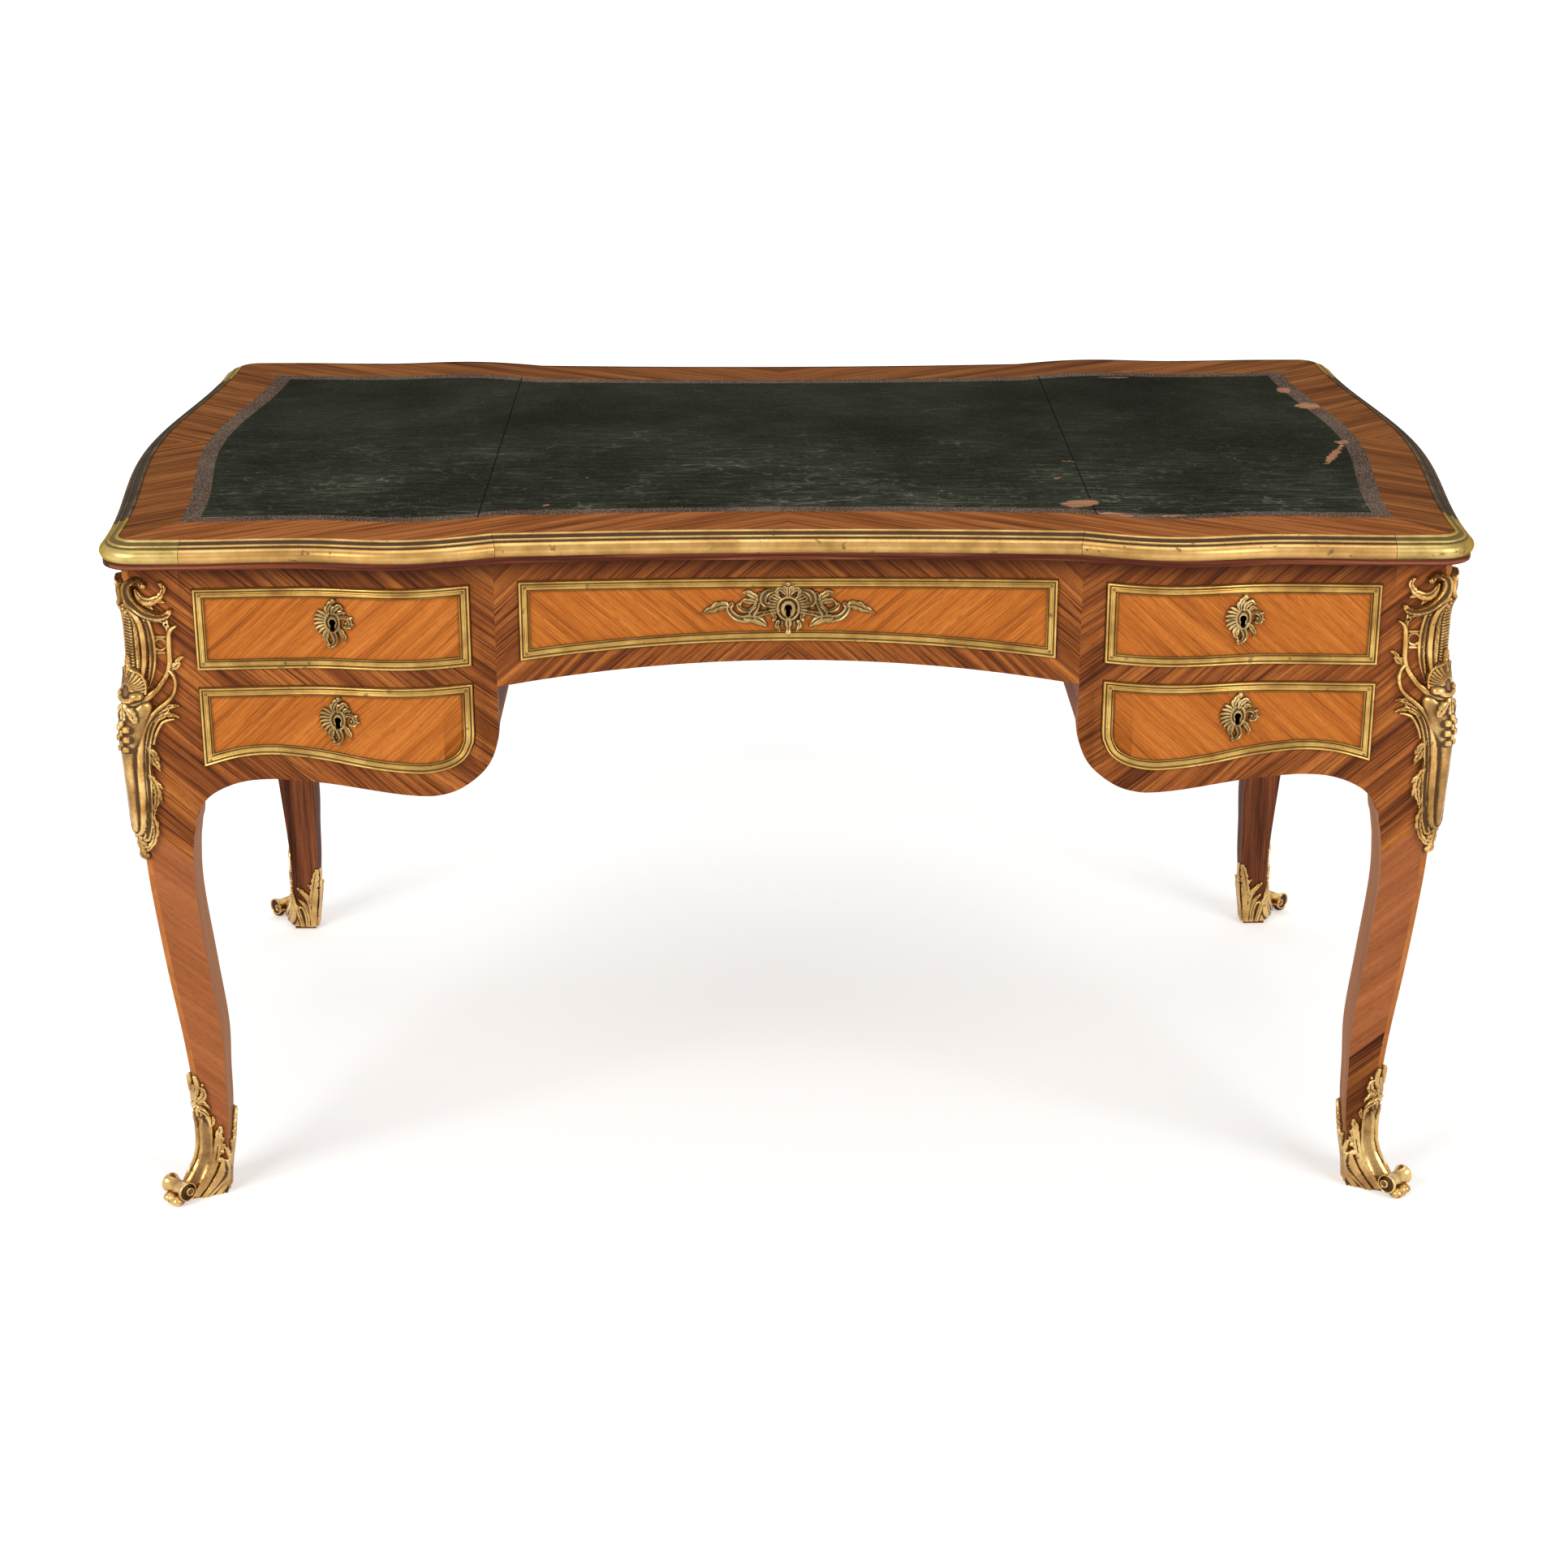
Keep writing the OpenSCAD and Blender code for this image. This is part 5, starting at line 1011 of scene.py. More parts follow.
# Distances from the middle of the arris up to which all of that counts, and from which nothing does
TOE_FLAT, TOE_FADE = 6, 27
# Place of the scroll's axis: way out along the diagonal, and height
ROLL_OUT, ROLL_Z = 29, 18
# Section of the scroll: radius, distance along its axis, shift of the centre of its rings, dirt
ROLL = [(8.2, 0, 0, 0.5), (8.3, 5, 0, 0.3), (9.2, 10, 0, 0.1), (10.8, 14, 0, 0), (11.4, 16.4, 0, 0),
    (11, 17.8, 0, 0), (10.2, 18, 0.1, 0.1), (9.4, 17, 0.3, 0.6), (8.8, 14.4, 0.7, 1), (7, 13.2, 1.9, 1),
    (5.6, 14, 3, 0.8), (5.1, 16.6, 3.4, 0.1), (4.3, 17.4, 3.8, 0), (3.3, 16.6, 4, 0.5), (2, 15.8, 4.2, 0.9),
    (0.4, 16.2, 4.2, 0.6)]
# Points round the scroll and round a lobe, and rows along a lobe
ROLL_SIDES, LOBE_ROWS = 40, 17
# How far the sole under a front foot stands out round it
SOLE_EDGE = 2
# Lobes under the scroll: way out, way sideways, height, and their three half sizes
LOBES = [(37, -8.4, 6.2, 8.4, 6.6, 6), (35, 8.6, 5.8, 9.4, 7, 5.6), (39.4, -1, 7, 6.4, 5, 6.4)]
# Where the rows of a lobe stop short of its ends, in radians, and its least height over the floor
LOBE_END, LOBE_FLOOR = 0.04, 0.2


def toe_sweep(u, v):
    """How far the tongue is shifted along the diagonal: all of it on the arris, and evenly less along
    both faces."""
    return np.interp(v, *np.array(TOE).T) * np.clip((TOE_FADE - np.abs(u)) / (TOE_FADE - TOE_FLAT), 0, 1)


def at_toe(side, front, out, sideways, up):
    """Places points given by the way out along the diagonal from the corner of the foot, the way across
    it and the height."""
    x = LEG_X - ANKLE_IN + (out + sideways) / math.sqrt(2)
    y = LEG_Y - ANKLE_IN + (out - sideways) / math.sqrt(2)
    return np.stack([side * x, -front * y, up], -1)


def scroll_and_lobes(side, front):
    """The rolled toe as rings about its axis, closed at both ends, the lobes as spheres drawn out, and on
    the front legs the sole under the foot."""
    section = spline(ROLL, 3)
    section = np.vstack([section[:0:-1] * [1, -1, 1, 1], section])
    turn = np.linspace(0, 2 * np.pi, ROLL_SIDES, endpoint=False)
    radius, axis, shift, dirt = section.T[..., None]
    out = ROLL_OUT + radius * np.cos(turn) - shift
    up = ROLL_Z + radius * np.sin(turn) - 0.4 * shift
    roll = at_toe(side, front, out, axis + 0 * out, up).reshape(-1, 3)
    parts = [(roll, tube_faces(len(section), ROLL_SIDES), np.repeat(dirt, ROLL_SIDES))]
    rise = np.linspace(LOBE_END, np.pi - LOBE_END, LOBE_ROWS)[:, None]
    for out, sideways, up, long, wide, high in LOBES:
        lobe = at_toe(side, front, out + long * np.cos(rise) + 0 * turn,
            sideways + wide * np.sin(rise) * np.cos(turn),
            np.maximum(up + high * np.sin(rise) * np.sin(turn), LOBE_FLOOR)).reshape(-1, 3)
        soil_and_shade = 0.5 - 0.6 * np.cos(rise) * np.ones(ROLL_SIDES)
        parts.append((lobe, tube_faces(LOBE_ROWS, ROLL_SIDES), soil_and_shade.ravel()))
    if front < 0:
        return parts
    edge, wide = SOLE_EDGE, FOOT_W + SOLE_EDGE
    sole = np.array([(edge, edge - ARRIS_W), (edge - ARRIS_W, edge), (-wide, edge), (-wide, -wide),
        (edge, -wide)])
    x, y = LEG_X - ANKLE_IN + sole[:, 0], LEG_Y - ANKLE_IN + sole[:, 1]
    base = np.vstack([np.stack([side * x, -front * y, np.full(5, z)], -1) for z in (0.0, SOLE_Z)])
    parts.append((base, tube_faces(2, 5), np.ones(10)))
    return parts


SABOT = [
    ("flat", 1.6, 0, [(9, -8, 13), (10, 24, 13), (10, 50, 11.5), (8, 84, 8)]),
    ("flat", 1.6, 0, [(26, -9, 13), (28, 14, 12), (29, 30, 8)]),
    ("flat", 1.6, 0, [(40, -10, 16), (47, -6, 16), (50, 0, 16)]),
    ("gutter", 5.6, 0, [(8.4, 94, 3.6), (9, 88, 6.4), (9.2, 80, 7.4), (9.2, 64, 7.4), (9, 48, 7.4),
        (8.6, 38, 7.2), (8, 28, 7), (7, 14, 6.4)]),
    ("leaf", 5.4, 0.4, [(25, 84, 2.6), (23.4, 78, 4.6), (21.4, 70, 4.8), (20, 63, 3.6)]),
    ("blade", 5.4, 0, [(23, 76, 3.4), (20.8, 66, 4.8), (19.4, 56, 4.8), (18.4, 46, 4.6), (17.4, 36, 4.4),
        (16, 26, 4.2), (13, 15, 3.8), (9, 6, 3.4)]),
    ("leaf", 4.6, 0, [(19.6, 54, 2.6), (24, 62.6, 3.2), (27, 70, 2)]),
    ("leaf", 4.4, 0, [(20, 47, 2.6), (24.6, 55, 3), (28.4, 62, 1.6)]),
    ("round", 5.6, 0, [(19.2, 43, 2), (18.6, 34, 2.2), (17, 24, 2.2), (14, 14, 2.1), (9.6, 4, 2)]),
    ("round", 5, 0.6, dot(23.8, 43.4, 3.7)), ("round", 4.6, 0.4, dot(25.6, 53, 3)),
    ("blade", 5.2, 0, [(27, 41, 3), (26.4, 31, 4.6), (24.4, 20, 4.8), (20.4, 11, 4.4), (15, 2, 3.4)]),
    ("round", 4.4, 0, [(29.4, 58, 1.8), (31, 48, 2), (31, 36, 2.1), (29.8, 24, 2.2), (26.8, 13, 2.2),
        (22.6, 2, 2.2)]),
    ("blade", 4.8, 0, [(32.6, 35, 2), (33.4, 20, 3.2), (35.6, 8, 3.2), (37, 0, 3)]),
    ("round", 4, 0, [(34, 28, 1.8), (37.6, 31, 2.2), (41, 27, 2.4), (42.6, 15, 2.4), (42.4, 0, 2.4)]),
    ("blade", 4.8, 0, [(37.6, 44, 1.8), (42, 38, 3), (45.6, 29, 3.2), (47, 15, 3.1), (47, 0, 3)]),
    ("leaf", 5.2, 0.4, [(39.8, 61, 2.8), (45.2, 54.6, 4.2), (50.4, 45, 4)]),
    ("blade", 5.2, 0, [(46, 53, 3.6), (50.4, 45, 4), (51.8, 30, 3.6), (51, 15, 3.4), (50.4, 0, 3.2)]),
    ("leaf", 4.8, 0.2, [(57, 55, 2.2), (54.6, 46, 3.2), (53, 35, 2.6)]),
    ("leaf", 4.8, 0, [(54, 67, 1.8), (58.4, 60, 3), (59.6, 50, 2.8)]),
    ("blade", 5, 0, [(47.6, -4, 5.4), (50.4, 14, 5.4), (55, 36, 5.6), (59, 54, 5.4)]),
    ("leaf", 5.2, 0.3, [(57.6, 50, 4.6), (60.4, 62, 5.2), (64.6, 79, 4.2), (67.6, 90, 2)]),
    ("cut", 0, 0, [(61, -10, 7), (61, 0, 7), (64, 24, 7), (71.4, 55, 7), (78.6, 100, 7), (80, 110, 7)]),
    ("leaf", 4, 0, [(13.6, 84, 1.8), (17, 90, 2.8), (17.8, 97.6, 1.6)]),
    ("flat", 2.4, 0, [(0, 92, 7), (0, 103, 8), (0, 112, 5)]),
    ("round", 5, 0.4, [(4, 106, 1.8), (9.4, 101.6, 2.2), (12.8, 95, 2.4), (13.8, 87, 2.2)]),
    ("round", 4.6, 0.4, [(0, 97, 2.2), (0, 104, 2.8)]),
    ("round", 6.4, 0.6, [(0, 111.6, 4), (4, 110.8, 2.8), (9, 107.6, 2), (14, 101.4, 1.4)]),
    ("leaf", 5, 0.2, [(5, 113.6, 2.6), (9, 115.2, 3.2), (13, 111.6, 2.4), (15, 107.6, 1.5)]),
    ("leaf", 5.4, 0.4, [(0, 112, 3.2), (0.4, 120, 4), (0.8, 128, 3.8), (0.8, 135.6, 2)]),
    ("leaf", 5.2, 0.2, [(4.6, 117, 3), (9, 121.6, 4.4), (11.4, 128, 3.9), (9.2, 134.6, 2)]),
    ("round", 5.4, 0.2, [(4, 126, 2.2), (5.8, 134, 2.8), (5.6, 142, 2.6), (4.6, 148.6, 1.9)]),
    ("round", 4.6, 0.4, dot(11.2, 138.4, 2.2)), ("round", 4.8, 0.4, dot(5.2, 115.8, 2.2)),
]
# Gilt bronze of the sabots: rubbed bright on its ridges, purplish brown in its hollows, and brighter than
# the mounts as painted light for the feet, which little light reaches
sabot_bronze = brass("gilt_bronze_of_sabots", "#e6c480", "#cda566", "#9d7344", "#482b1c",
    patina=0.94, rough=0.2)
sabot_relief = chased(SABOT, (-74.2, 0.2), (74.2, SABOT_TOP + 1), SABOT_CELL, twin=True, soft=1.3)


def round_foot(side, front):
    """Places a relief on a foot; behind, its height is shortened so that it starts above the bare wood."""
    low = 0 if front > 0 else BLOCK_H
    foot = round_leg(side, front, toe=toe_sweep)
    return lambda u, v, height: foot(u, low + v * (1 - low / SABOT_TOP), height)


for place, side, front in CORNERS:
    cast(f"{place}_chased_sabot", sabot_relief, round_foot(side, front), sabot_bronze, SABOT_PATINA_AND_PAINTED_LIGHT,
        "carcase", ["sabots"], scroll_and_lobes(side, front))

# Top. The veneer lies in four strips, mitred at the corners; front and back strips are jointed in the
# middle, where their streaks meet and run outwards to the edge.

# Height of the upper side of the veneer, and its thickness
SKIN_Z, SKIN_T = 779.4, 1
# Points along half an end, along half the round of a corner, and across a strip
END_STATIONS, CORNER_STATIONS, STRIP_STATIONS = 40, 9, 7
# Radius of the corners, and width of the strips: in front and behind, and at the ends
CORNER_R = 22
VENEER_FRONT, VENEER_END = 72, 54
# Angle of the grain to the length of the desk, on the front and back strips and on the ends
FRONT_SLANT, END_SLANT = 32, 37
# Where in the log the front strip and the end strips were cut, in millimetres
FRONT_SEED, END_SEED = 300, 150


def top_grain(points, slant, seed):
    """How far each point of the top lies along the grain and across it: the streaks run outwards to the
    right in front and the other three quarters mirror them."""
    angle = math.radians(slant)
    a, b = np.abs(points[:, 0]), np.abs(points[:, 1])
    return np.stack([a * math.cos(angle) + b * math.sin(angle), b * math.cos(angle) - a * math.sin(angle),
        0.1 * points[:, 2] + seed], -1)


def front_stations(reach, per_span=16):
    """Places along the front from the middle out to the reach, with one on each change of curve."""
    marks = [0, CENTRE_HALF, CENTRE_HALF + SWELL_RUN, CENTRE_HALF + SWELL_RUN + HOLLOW_RUN, FLARE_X, reach]
    spans = [np.linspace(a, b, per_span, endpoint=False) for a, b in zip(marks, marks[1:])]
    return np.concatenate(spans + [[reach]])


def leather_front(share):
    """Front edge of the leather, which follows the edge of the top; shares run from corner to corner."""
    x = share * (END_X - VENEER_END)
    return np.stack([x, VENEER_FRONT - edge_y(x)], -1)


def leather_end(share):
    """End edge of the leather: the bow of the end eased over the leather's own depth."""
    x = END_X - VENEER_END + END_BOW * ease(1 - np.abs(share))
    return np.stack([x, share * (CORNER_Y - VENEER_FRONT)], -1)


def sheet_between(outer, inner, across):
    """A flat sheet with thickness between two lines of points: top grid, bottom grid and a wall round."""
    t = np.linspace(0, 1, across)[None, :, None]
    flat = outer[:, None] * (1 - t) + inner[:, None] * t
    return slab(np.concatenate([flat, np.full(flat.shape[:2] + (1,), SKIN_Z)], -1))


def slab(top):
    """Points and faces of a grid, of its copy one skin lower, and of the wall round their edges."""
    rows, cols = top.shape[:2]
    points = np.vstack([top.reshape(-1, 3), top.reshape(-1, 3) - [0, 0, SKIN_T]])
    grid = np.arange(rows * cols).reshape(rows, cols)
    quads = np.stack([grid[:-1, :-1], grid[1:, :-1], grid[1:, 1:], grid[:-1, 1:]], -1).reshape(-1, 4)
    rim = np.concatenate([grid[0, :-1], grid[:-1, -1], grid[-1, :0:-1], grid[:0:-1, 0]])
    low = rim + rows * cols
    walls = np.stack([rim, np.roll(rim, -1), np.roll(low, -1), low], -1)
    return points, np.vstack([quads, quads[:, ::-1] + rows * cols, walls]).tolist()


# Kingwood of the top: worn and paler than the drawer rails, with thin dark lines; its ends and its back
# were cut from a browner leaf than its front
top_kingwood = [veneer(f"kingwood_veneer_of_top_{place}", tones,
    streak=5, line=1.1, wave=14, contrast=0.15, dark_lines=0.5, pores=0.4, polish=0.46, coat=0.04)
    for place, tones in (("front", ("#4c2810", "#84491e", "#a26030", "#b87640")),
        ("ends", ("#42230f", "#6d3e1a", "#865026", "#9c6434")))]


def corner_arc(first, last, count):
    """Points on the round corner of the top at the front right, from one angle to another in degrees."""
    turn = np.radians(np.linspace(first, last, count))
    return np.stack([END_X - CORNER_R + CORNER_R * np.cos(turn),
        CORNER_R - CORNER_Y + CORNER_R * np.sin(turn)], -1)


corner_share = CORNER_R * math.cos(math.radians(45))
corner_mid = (END_X - CORNER_R + corner_share, CORNER_Y - CORNER_R + corner_share)
half_x = front_stations(END_X - CORNER_R)
half_line = np.vstack([np.stack([half_x, -edge_y(half_x)], -1), corner_arc(-90, -45, CORNER_STATIONS)[1:]])
front_line = np.vstack([half_line[:0:-1] * [-1, 1], half_line])
half_y = np.linspace(0, END_RUN, END_STATIONS)
half_end = np.vstack([np.stack([end_edge(half_y), -half_y], -1), corner_arc(0, -45, CORNER_STATIONS)[1:]])
end_line = np.vstack([half_end[:0:-1], half_end * [1, -1]])
front_inner = leather_front(front_line[:, 0] / corner_mid[0])
end_inner = leather_end(end_line[:, 1] / corner_mid[1])
parts, grains, paint = [], [], []
for turned in (1, -1):
    for outer, inner, flip, slant, seed, finish in (
            (front_line, front_inner, [1, turned], FRONT_SLANT, FRONT_SEED, turned < 0),
            (end_line, end_inner, [turned, 1], END_SLANT, END_SEED, True)):
        points, faces = sheet_between(outer * flip, inner * flip, STRIP_STATIONS)
        parts.append((points, faces))
        grains.append(top_grain(points, slant, seed * turned))
        paint += [finish] * len(faces)
points, faces = one_mesh(parts)
border = bpy.data.meshes.new("veneer_border_laid")
border.from_pydata((points / 1000).tolist(), [], faces)
border.polygons.foreach_set("material_index", np.array(paint, np.int32))
for finish in top_kingwood:
    border.materials.append(finish)
grains = (np.vstack(grains) / 1000).astype(np.float32)
border.attributes.new("grain", "FLOAT_VECTOR", "POINT").data.foreach_set("vector", grains.ravel())
fixed("veneer_border_laid", border, "carcase", "kingwood_veneer", ["veneer_border"])

# Lipping. A thin reddish moulding of hardwood, stained to look like mahogany, glued round the edge of
# the top board under the brass.
lipping_wood = veneer("stained_hardwood_lipping", ("#331409", "#5c2a1a", "#85482d", "#b5745a"),
    streak=9, line=1.4, wave=6, contrast=0.13, dark_lines=0.3, pores=0.3, polish=0.36)
lay_grain(dressed("top_lipping", lipping_wood, "carcase", "reddish_lipping"), slant=0, seed=0.35)

# Leather. Three skins of green goatskin, gone nearly black, scratched and cracked towards the front,
# inside a band of brown leather that was tooled in blind; worn edges and tears show its tan side.

# Where the wear begins behind and where it is at its full in front, in metres
BACK_Y, FRONT_Y = 0.1, -0.3
# Distance of the two seams from the middle and height of the leather, in metres
SEAM_X, LEATHER_Z = 0.331, 0.78
# How many lie in a metre: mottles 170 mm wide, grain and specks of 1.6 mm, pores of the skin 1.4 mm
# apart, and the ragged edges of tears, 8 mm long
MOTTLES, SPECKS, SKIN_PORES, RAGS = 6, 620, 700, 130
# Lines in the surface: how closely they lie, their width as a share of the noise, and how broken they are
WRINKLES = [(7, 0.005, 0.46, 0.9), (19, 0.011, 0.48, 0.85), (46, 0.022, 0.49, 0.7)]
# Torn places: centre, half length and half width in metres, turn in degrees
TEARS = [(0.318, -0.288, 0.021, 0.014, 25), (0.352, -0.334, 0.02, 0.007, -22),
    (0.632, 0.249, 0.008, 0.014, 0), (0.648, 0.163, 0.015, 0.016, -30),
    (0.634, -0.077, 0.05, 0.0045, 68), (0.427, 0.324, 0.02, 0.004, 0),
    (0.323, -0.105, 0.006, 0.0018, 5), (0.305, -0.18, 0.004, 0.002, 0),
    (0.412, -0.34, 0.013, 0.004, 0), (-0.2606, -0.2877, 0.004, 0.0026, 40),
    (-0.2235, -0.171, 0.003, 0.002, 0), (0.655, -0.02, 0.012, 0.006, 60)]


def leather(name, base, pale, worn, line, amount, specks):
    """Old leather: a mottled ground brushed along the desk, a fine grain, wrinkles and scratches that
    gather where the writer sat, and tears down to its tan side. A wrinkle runs where a noise passes its
    middle value, and a coarser noise breaks it up."""
    tree, shader, made = material(name)
    place = add(tree, "TexCoord").outputs["Object"]
    cloud = add(tree, "TexNoise", {"Vector": place, "Scale": MOTTLES, "Detail": 5.0, "Roughness": 0.62})
    tone = add(tree, "ValToRGB", {0: cloud}, [(0.34, base), (0.66, pale)])
    at = add(tree, "SeparateXYZ", {0: place})
    used = add(tree, "MapRange", {0: at.outputs[1], 1: BACK_Y, 2: FRONT_Y, 3: 0.15, 4: 1.0})
    patchy = add(tree, "MapRange", {0: cloud, 1: 0.42, 2: 0.62, 3: 0.3, 4: 1.0})
    used = add(tree, "Math", {0: used, 1: patchy}, operation="MULTIPLY")
    brushed = add(tree, "VectorMath", {0: place, 1: (22, 420, 60)}, operation="MULTIPLY")
    brushed = add(tree, "TexNoise", {"Vector": brushed, "Scale": 1.0, "Detail": 3.0, "Roughness": 0.6})
    marks = add(tree, "MapRange", {0: brushed, 1: 0.5, 2: 0.74, 3: 0.0, 4: 0.7})
    drawn = add(tree, "VectorMath", {0: place, 1: (0.45, 1, 1)}, operation="MULTIPLY")
    for scale, thin, gate, strength in WRINKLES:
        run = add(tree, "TexNoise", {"Vector": drawn, "Scale": scale, "Detail": 4.0, "Roughness": 0.55})
        off = add(tree, "Math", {0: run, 1: 0.5}, operation="SUBTRACT")
        off = add(tree, "Math", {0: off}, operation="ABSOLUTE")
        run = add(tree, "MapRange", {0: off, 1: 0.0, 2: thin, 3: strength, 4: 0.0})
        broken = add(tree, "TexNoise", {"Vector": place, "Scale": 1.9 * scale, "Detail": 2.0})
        broken = add(tree, "MapRange", {0: broken, 1: gate, 2: gate + 0.1})
        run = add(tree, "Math", {0: run, 1: broken}, operation="MULTIPLY")
        marks = add(tree, "Math", {0: marks, 1: run}, operation="MAXIMUM")
    marks = add(tree, "Math", {0: marks, 1: used}, operation="MULTIPLY")
    marks = add(tree, "Math", {0: marks, 1: amount}, operation="MULTIPLY")
    tone = add(tree, "Mix", {0: marks, 6: tone, 7: linear(worn)}, data_type="RGBA")
    fine = add(tree, "TexNoise", {"Vector": place, "Scale": SPECKS, "Detail": 2.0})
    light = add(tree, "MapRange", {0: fine, 1: 0.54, 2: 0.68, 3: 0.0, 4: specks})
    tone = add(tree, "Mix", {0: light, 6: tone, 7: linear(line)}, data_type="RGBA")
    deep = add(tree, "MapRange", {0: fine, 1: 0.46, 2: 0.32, 3: 0.0, 4: specks})
    aside = add(tree, "Math", {0: at}, operation="ABSOLUTE")
    aside = add(tree, "Math", {0: aside, 1: SEAM_X}, operation="SUBTRACT")
    aside = add(tree, "Math", {0: aside}, operation="ABSOLUTE")
    seam = add(tree, "MapRange", {0: aside, 1: 0.0005, 2: 0.0012, 3: 0.9, 4: 0.0})
    deep = add(tree, "Math", {0: deep, 1: seam}, operation="MAXIMUM")
    tone = add(tree, "Mix", {0: deep, 6: tone, 7: linear("#100e0a")}, data_type="RGBA")
    ragged = add(tree, "TexNoise", {"Vector": place, "Scale": RAGS, "Detail": 3.0})
    ragged = add(tree, "VectorMath", {0: ragged.outputs["Color"], 1: (0.5, 0.5, 0.5)},
        operation="SUBTRACT")
    ragged = add(tree, "VectorMath", {0: ragged, 1: (0.016, 0.016, 0)}, operation="MULTIPLY")
    ragged = add(tree, "VectorMath", {0: place, 1: ragged}, operation="ADD")
    torn = 0.0
    for x, y, long, wide, turned in TEARS:
        near = add(tree, "Mapping", {"Vector": ragged, "Location": (x, y, LEATHER_Z),
            "Rotation": (0, 0, math.radians(turned)), "Scale": (long, wide, 1)}, vector_type="TEXTURE")
        near = add(tree, "VectorMath", {0: near}, operation="LENGTH")
        near = add(tree, "MapRange", {0: near, 1: 0.9, 2: 1.05, 3: 0.9, 4: 0.0})
        torn = add(tree, "Math", {0: near, 1: torn}, operation="MAXIMUM")
    bare = add(tree, "ValToRGB", {0: brushed}, [(0.35, "#7d4f38"), (0.62, "#b98766")])
    tone = add(tree, "Mix", {0: torn, 6: tone, 7: bare}, data_type="RGBA")
    grain = add(tree, "TexVoronoi", {"Vector": place, "Scale": SKIN_PORES}, feature="F1")
    bump = add(tree, "Bump", {"Height": grain, "Strength": 0.35, "Distance": 0.0005})
    wire(tree, shader, {"Base Color": tone, "Roughness": 0.68, "Normal": bump, "Specular IOR Level": 0.0,
        "Coat Weight": 0.03, "Coat Roughness": 0.45})
    return made


# Green goatskin: green-black with pale wrinkles
green_leather = leather("green_goatskin_worn", "#191b13", "#2b2d23", "#808371", "#474a3d",
    amount=1.0, specks=0.45)
# Brown calf: grey-brown and grainy, with pinkish specks
brown_leather = leather("brown_leather_tooled", "#3d3129", "#66554a", "#8d7866", "#a38775",
    amount=0.6, specks=0.85)
dressed("leather_tooled_border", brown_leather, "carcase", "brown_leather")
for part in ("left", "centre", "right"):
    dressed(f"leather_{part}", green_leather, "carcase", "green_leather")

# Rim. Cast and drawn brass round the top: a bead beside the veneer, a cove, a second bead and a broad
# ovolo. Three lengths along the front meet in mitres, and the corners are castings of their own.
DESK_H = 780
# How far the end of each length is drawn back in a joint
JOINT_GAP = 0.25
# Steps of the rim along half an end, and points round a corner
RIM_STEPS, RIM_CORNER = 36, 15
# Where the corner castings end, along the front and along the end
CAST_X, CAST_Y = 629, -333
# Section of the rim: distance out from the veneer, height below the top of the bead
RIM = [(0, -21), (0, -1.4), (0.6, -0.4), (2, 0), (3.4, -0.5), (4.2, -1.8), (6.6, -3.4), (9.2, -3.9),
    (10.6, -3.4), (12, -4.3), (12.4, -6.2), (15.5, -7), (18.6, -8.8), (20.4, -11.4), (21, -14.2),
    (20.6, -16.8), (19.4, -19.2), (18, -21)]
# Dirt at each point of the section
RIM_DIRT = [1, 0.9, 0.3, 0, 0.2, 0.9, 1, 0.95, 0.25, 0.3, 1, 0.4, 0, 0, 0, 0, 0.1, 0.5]
rim_brass = brass("cast_brass_rim", "#c9a163", "#b88e52", "#9c7742", "#35240f", patina=0.95, rough=0.34)
# The ends and the back are hardly ever rubbed: olive brown all over, and darker still as painted dark
# reflection, with a brown glance
end_brass = brass("cast_brass_of_ends", "#8c7850", "#6f5c3a", "#52412a", "#2a1f13",
    patina=0.9, rough=0.4, glance="#86684a")
# The corner castings are a yellower, greener alloy
corner_brass = brass("cast_brass_corners", "#c6ad6d", "#b3985b", "#927a45", "#4a3c20",
    patina=0.85, rough=0.36, glance="#bda978")
rim_section = spline([(d, z, dirt) for (d, z), dirt in zip(RIM, RIM_DIRT)], 3)

quarter_x = front_stations(END_X - CORNER_R)[:-1]
end_y = END_RUN * (1 - np.arange(1, RIM_STEPS + 1) / RIM_STEPS)
quarter = np.vstack([np.stack([quarter_x, -edge_y(quarter_x)], -1), corner_arc(-90, 0, RIM_CORNER),
    np.stack([end_edge(end_y), -end_y], -1)])
half = np.vstack([quarter, quarter[-2::-1] * [1, -1]])
edge_loop = np.vstack([half, half[-2:0:-1] * [-1, 1]])
n_loop, i_back = len(edge_loop), 2 * (len(quarter) - 1)
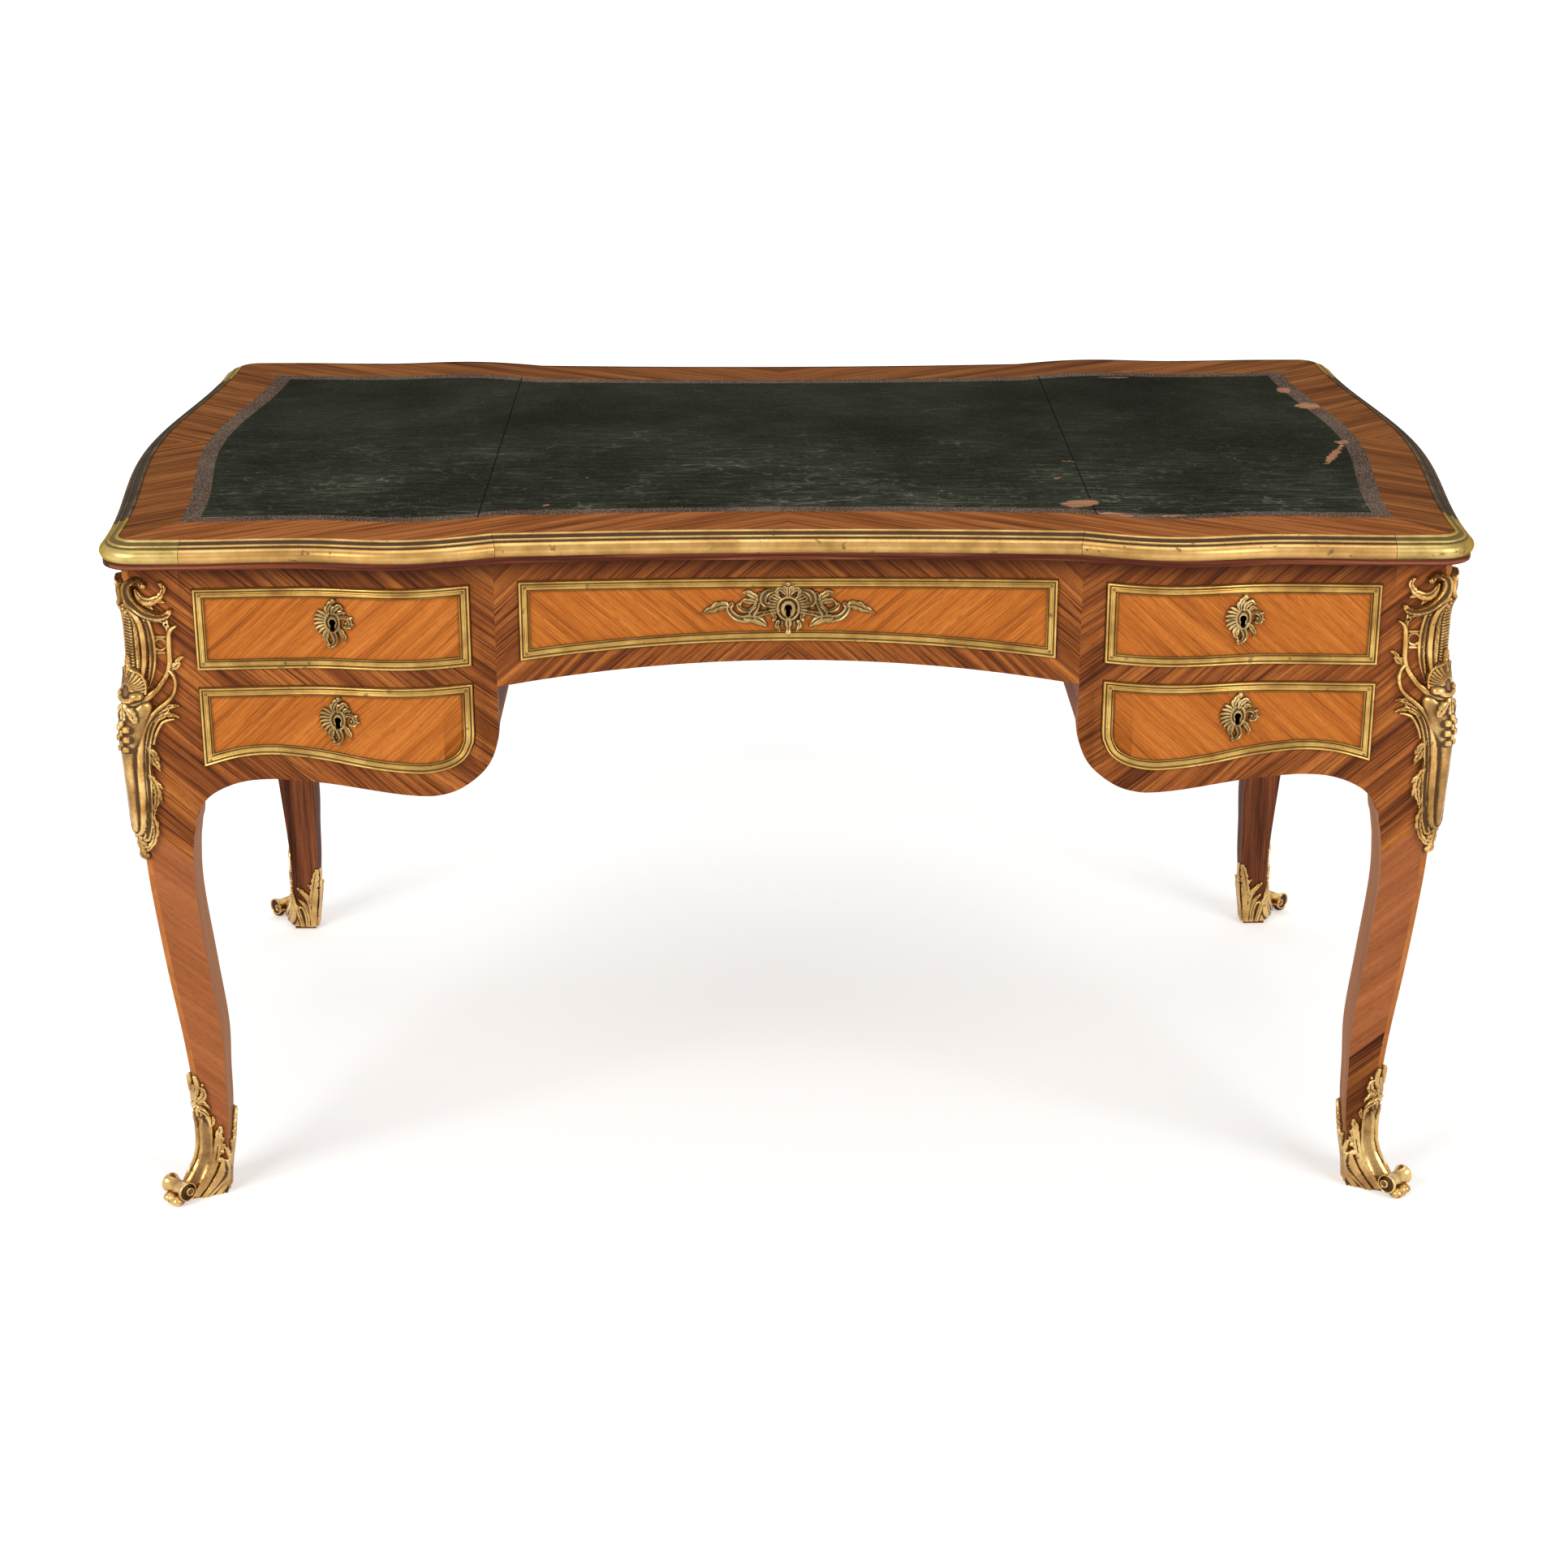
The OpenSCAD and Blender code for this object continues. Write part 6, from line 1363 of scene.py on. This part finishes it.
# Stations at which the lengths of rim meet: the front mitre and both ends of a corner casting
i_mitre = int(np.argmin(np.abs(quarter_x - CENTRE_HALF)))
i_cast = int(np.argmin(np.abs(quarter_x - CAST_X)))
i_cast_end = int(np.argmin(np.abs(quarter[:, 1] - CAST_Y) + 1000 * (quarter[:, 0] < END_X)))
edge_out = outward(edge_loop)


def rim_run(first, last):
    """Rim along the stations first to last of the edge, each end drawn back by the joint gap."""
    at = np.arange(first, last + 1) % n_loop
    line, out = edge_loop[at].copy(), edge_out[at]
    for end, inner in ((0, 1), (-1, -2)):
        step = line[inner] - line[end]
        line[end] += JOINT_GAP * step / np.linalg.norm(step)
    plan = line[:, None] + out[:, None] * rim_section[None, :, :1]
    height = np.broadcast_to(DESK_H + rim_section[:, 1], plan.shape[:2])
    points = np.concatenate([plan, height[..., None]], -1).reshape(-1, 3)
    return points, tube_faces(len(at), len(rim_section))


# Patina that lies on all of the rim at the ends and the back, raised as painted dark reflection
END_PATINA_AND_PAINTED_REFLECTION = 0.5


def rim_piece(name, runs, nodes, finish=rim_brass, patina_and_painted_light=0.0):
    """One or more lengths of rim as a piece, with dirt in the cove and the quirks, and extra patina over
    all of it by the shift it is given, which at the ends is also painted dark reflection."""
    points, faces = one_mesh([rim_run(first, last) for first, last in runs])
    dirt = np.tile(rim_section[:, 2], len(points) // len(rim_section)) + patina_and_painted_light
    return piece(name, points, faces, finish, "carcase", "brass_rim", nodes, crease=40, dirt=dirt)


rim_piece("rim_front_centre_cast", [(-i_mitre, i_mitre)], ["rim_front_centre"])
rim_piece("rim_front_right_cast", [(i_mitre, i_cast)], ["rim_front_right"])
rim_piece("rim_front_left_cast", [(-i_cast, -i_mitre)], ["rim_front_left"])
rim_piece("rim_corner_castings", [(i_cast, i_cast_end), (i_back - i_cast_end, i_back - i_cast),
    (i_back + i_cast, i_back + i_cast_end), (-i_cast_end, -i_cast)], ["rim_corners"], corner_brass)
rim_piece("rim_ends_and_back_cast", [(i_cast_end, i_back - i_cast_end), (i_back - i_cast, i_back + i_cast),
    (i_back + i_cast_end, n_loop - i_cast_end)], ["rim_ends_and_back"], end_brass, END_PATINA_AND_PAINTED_REFLECTION)
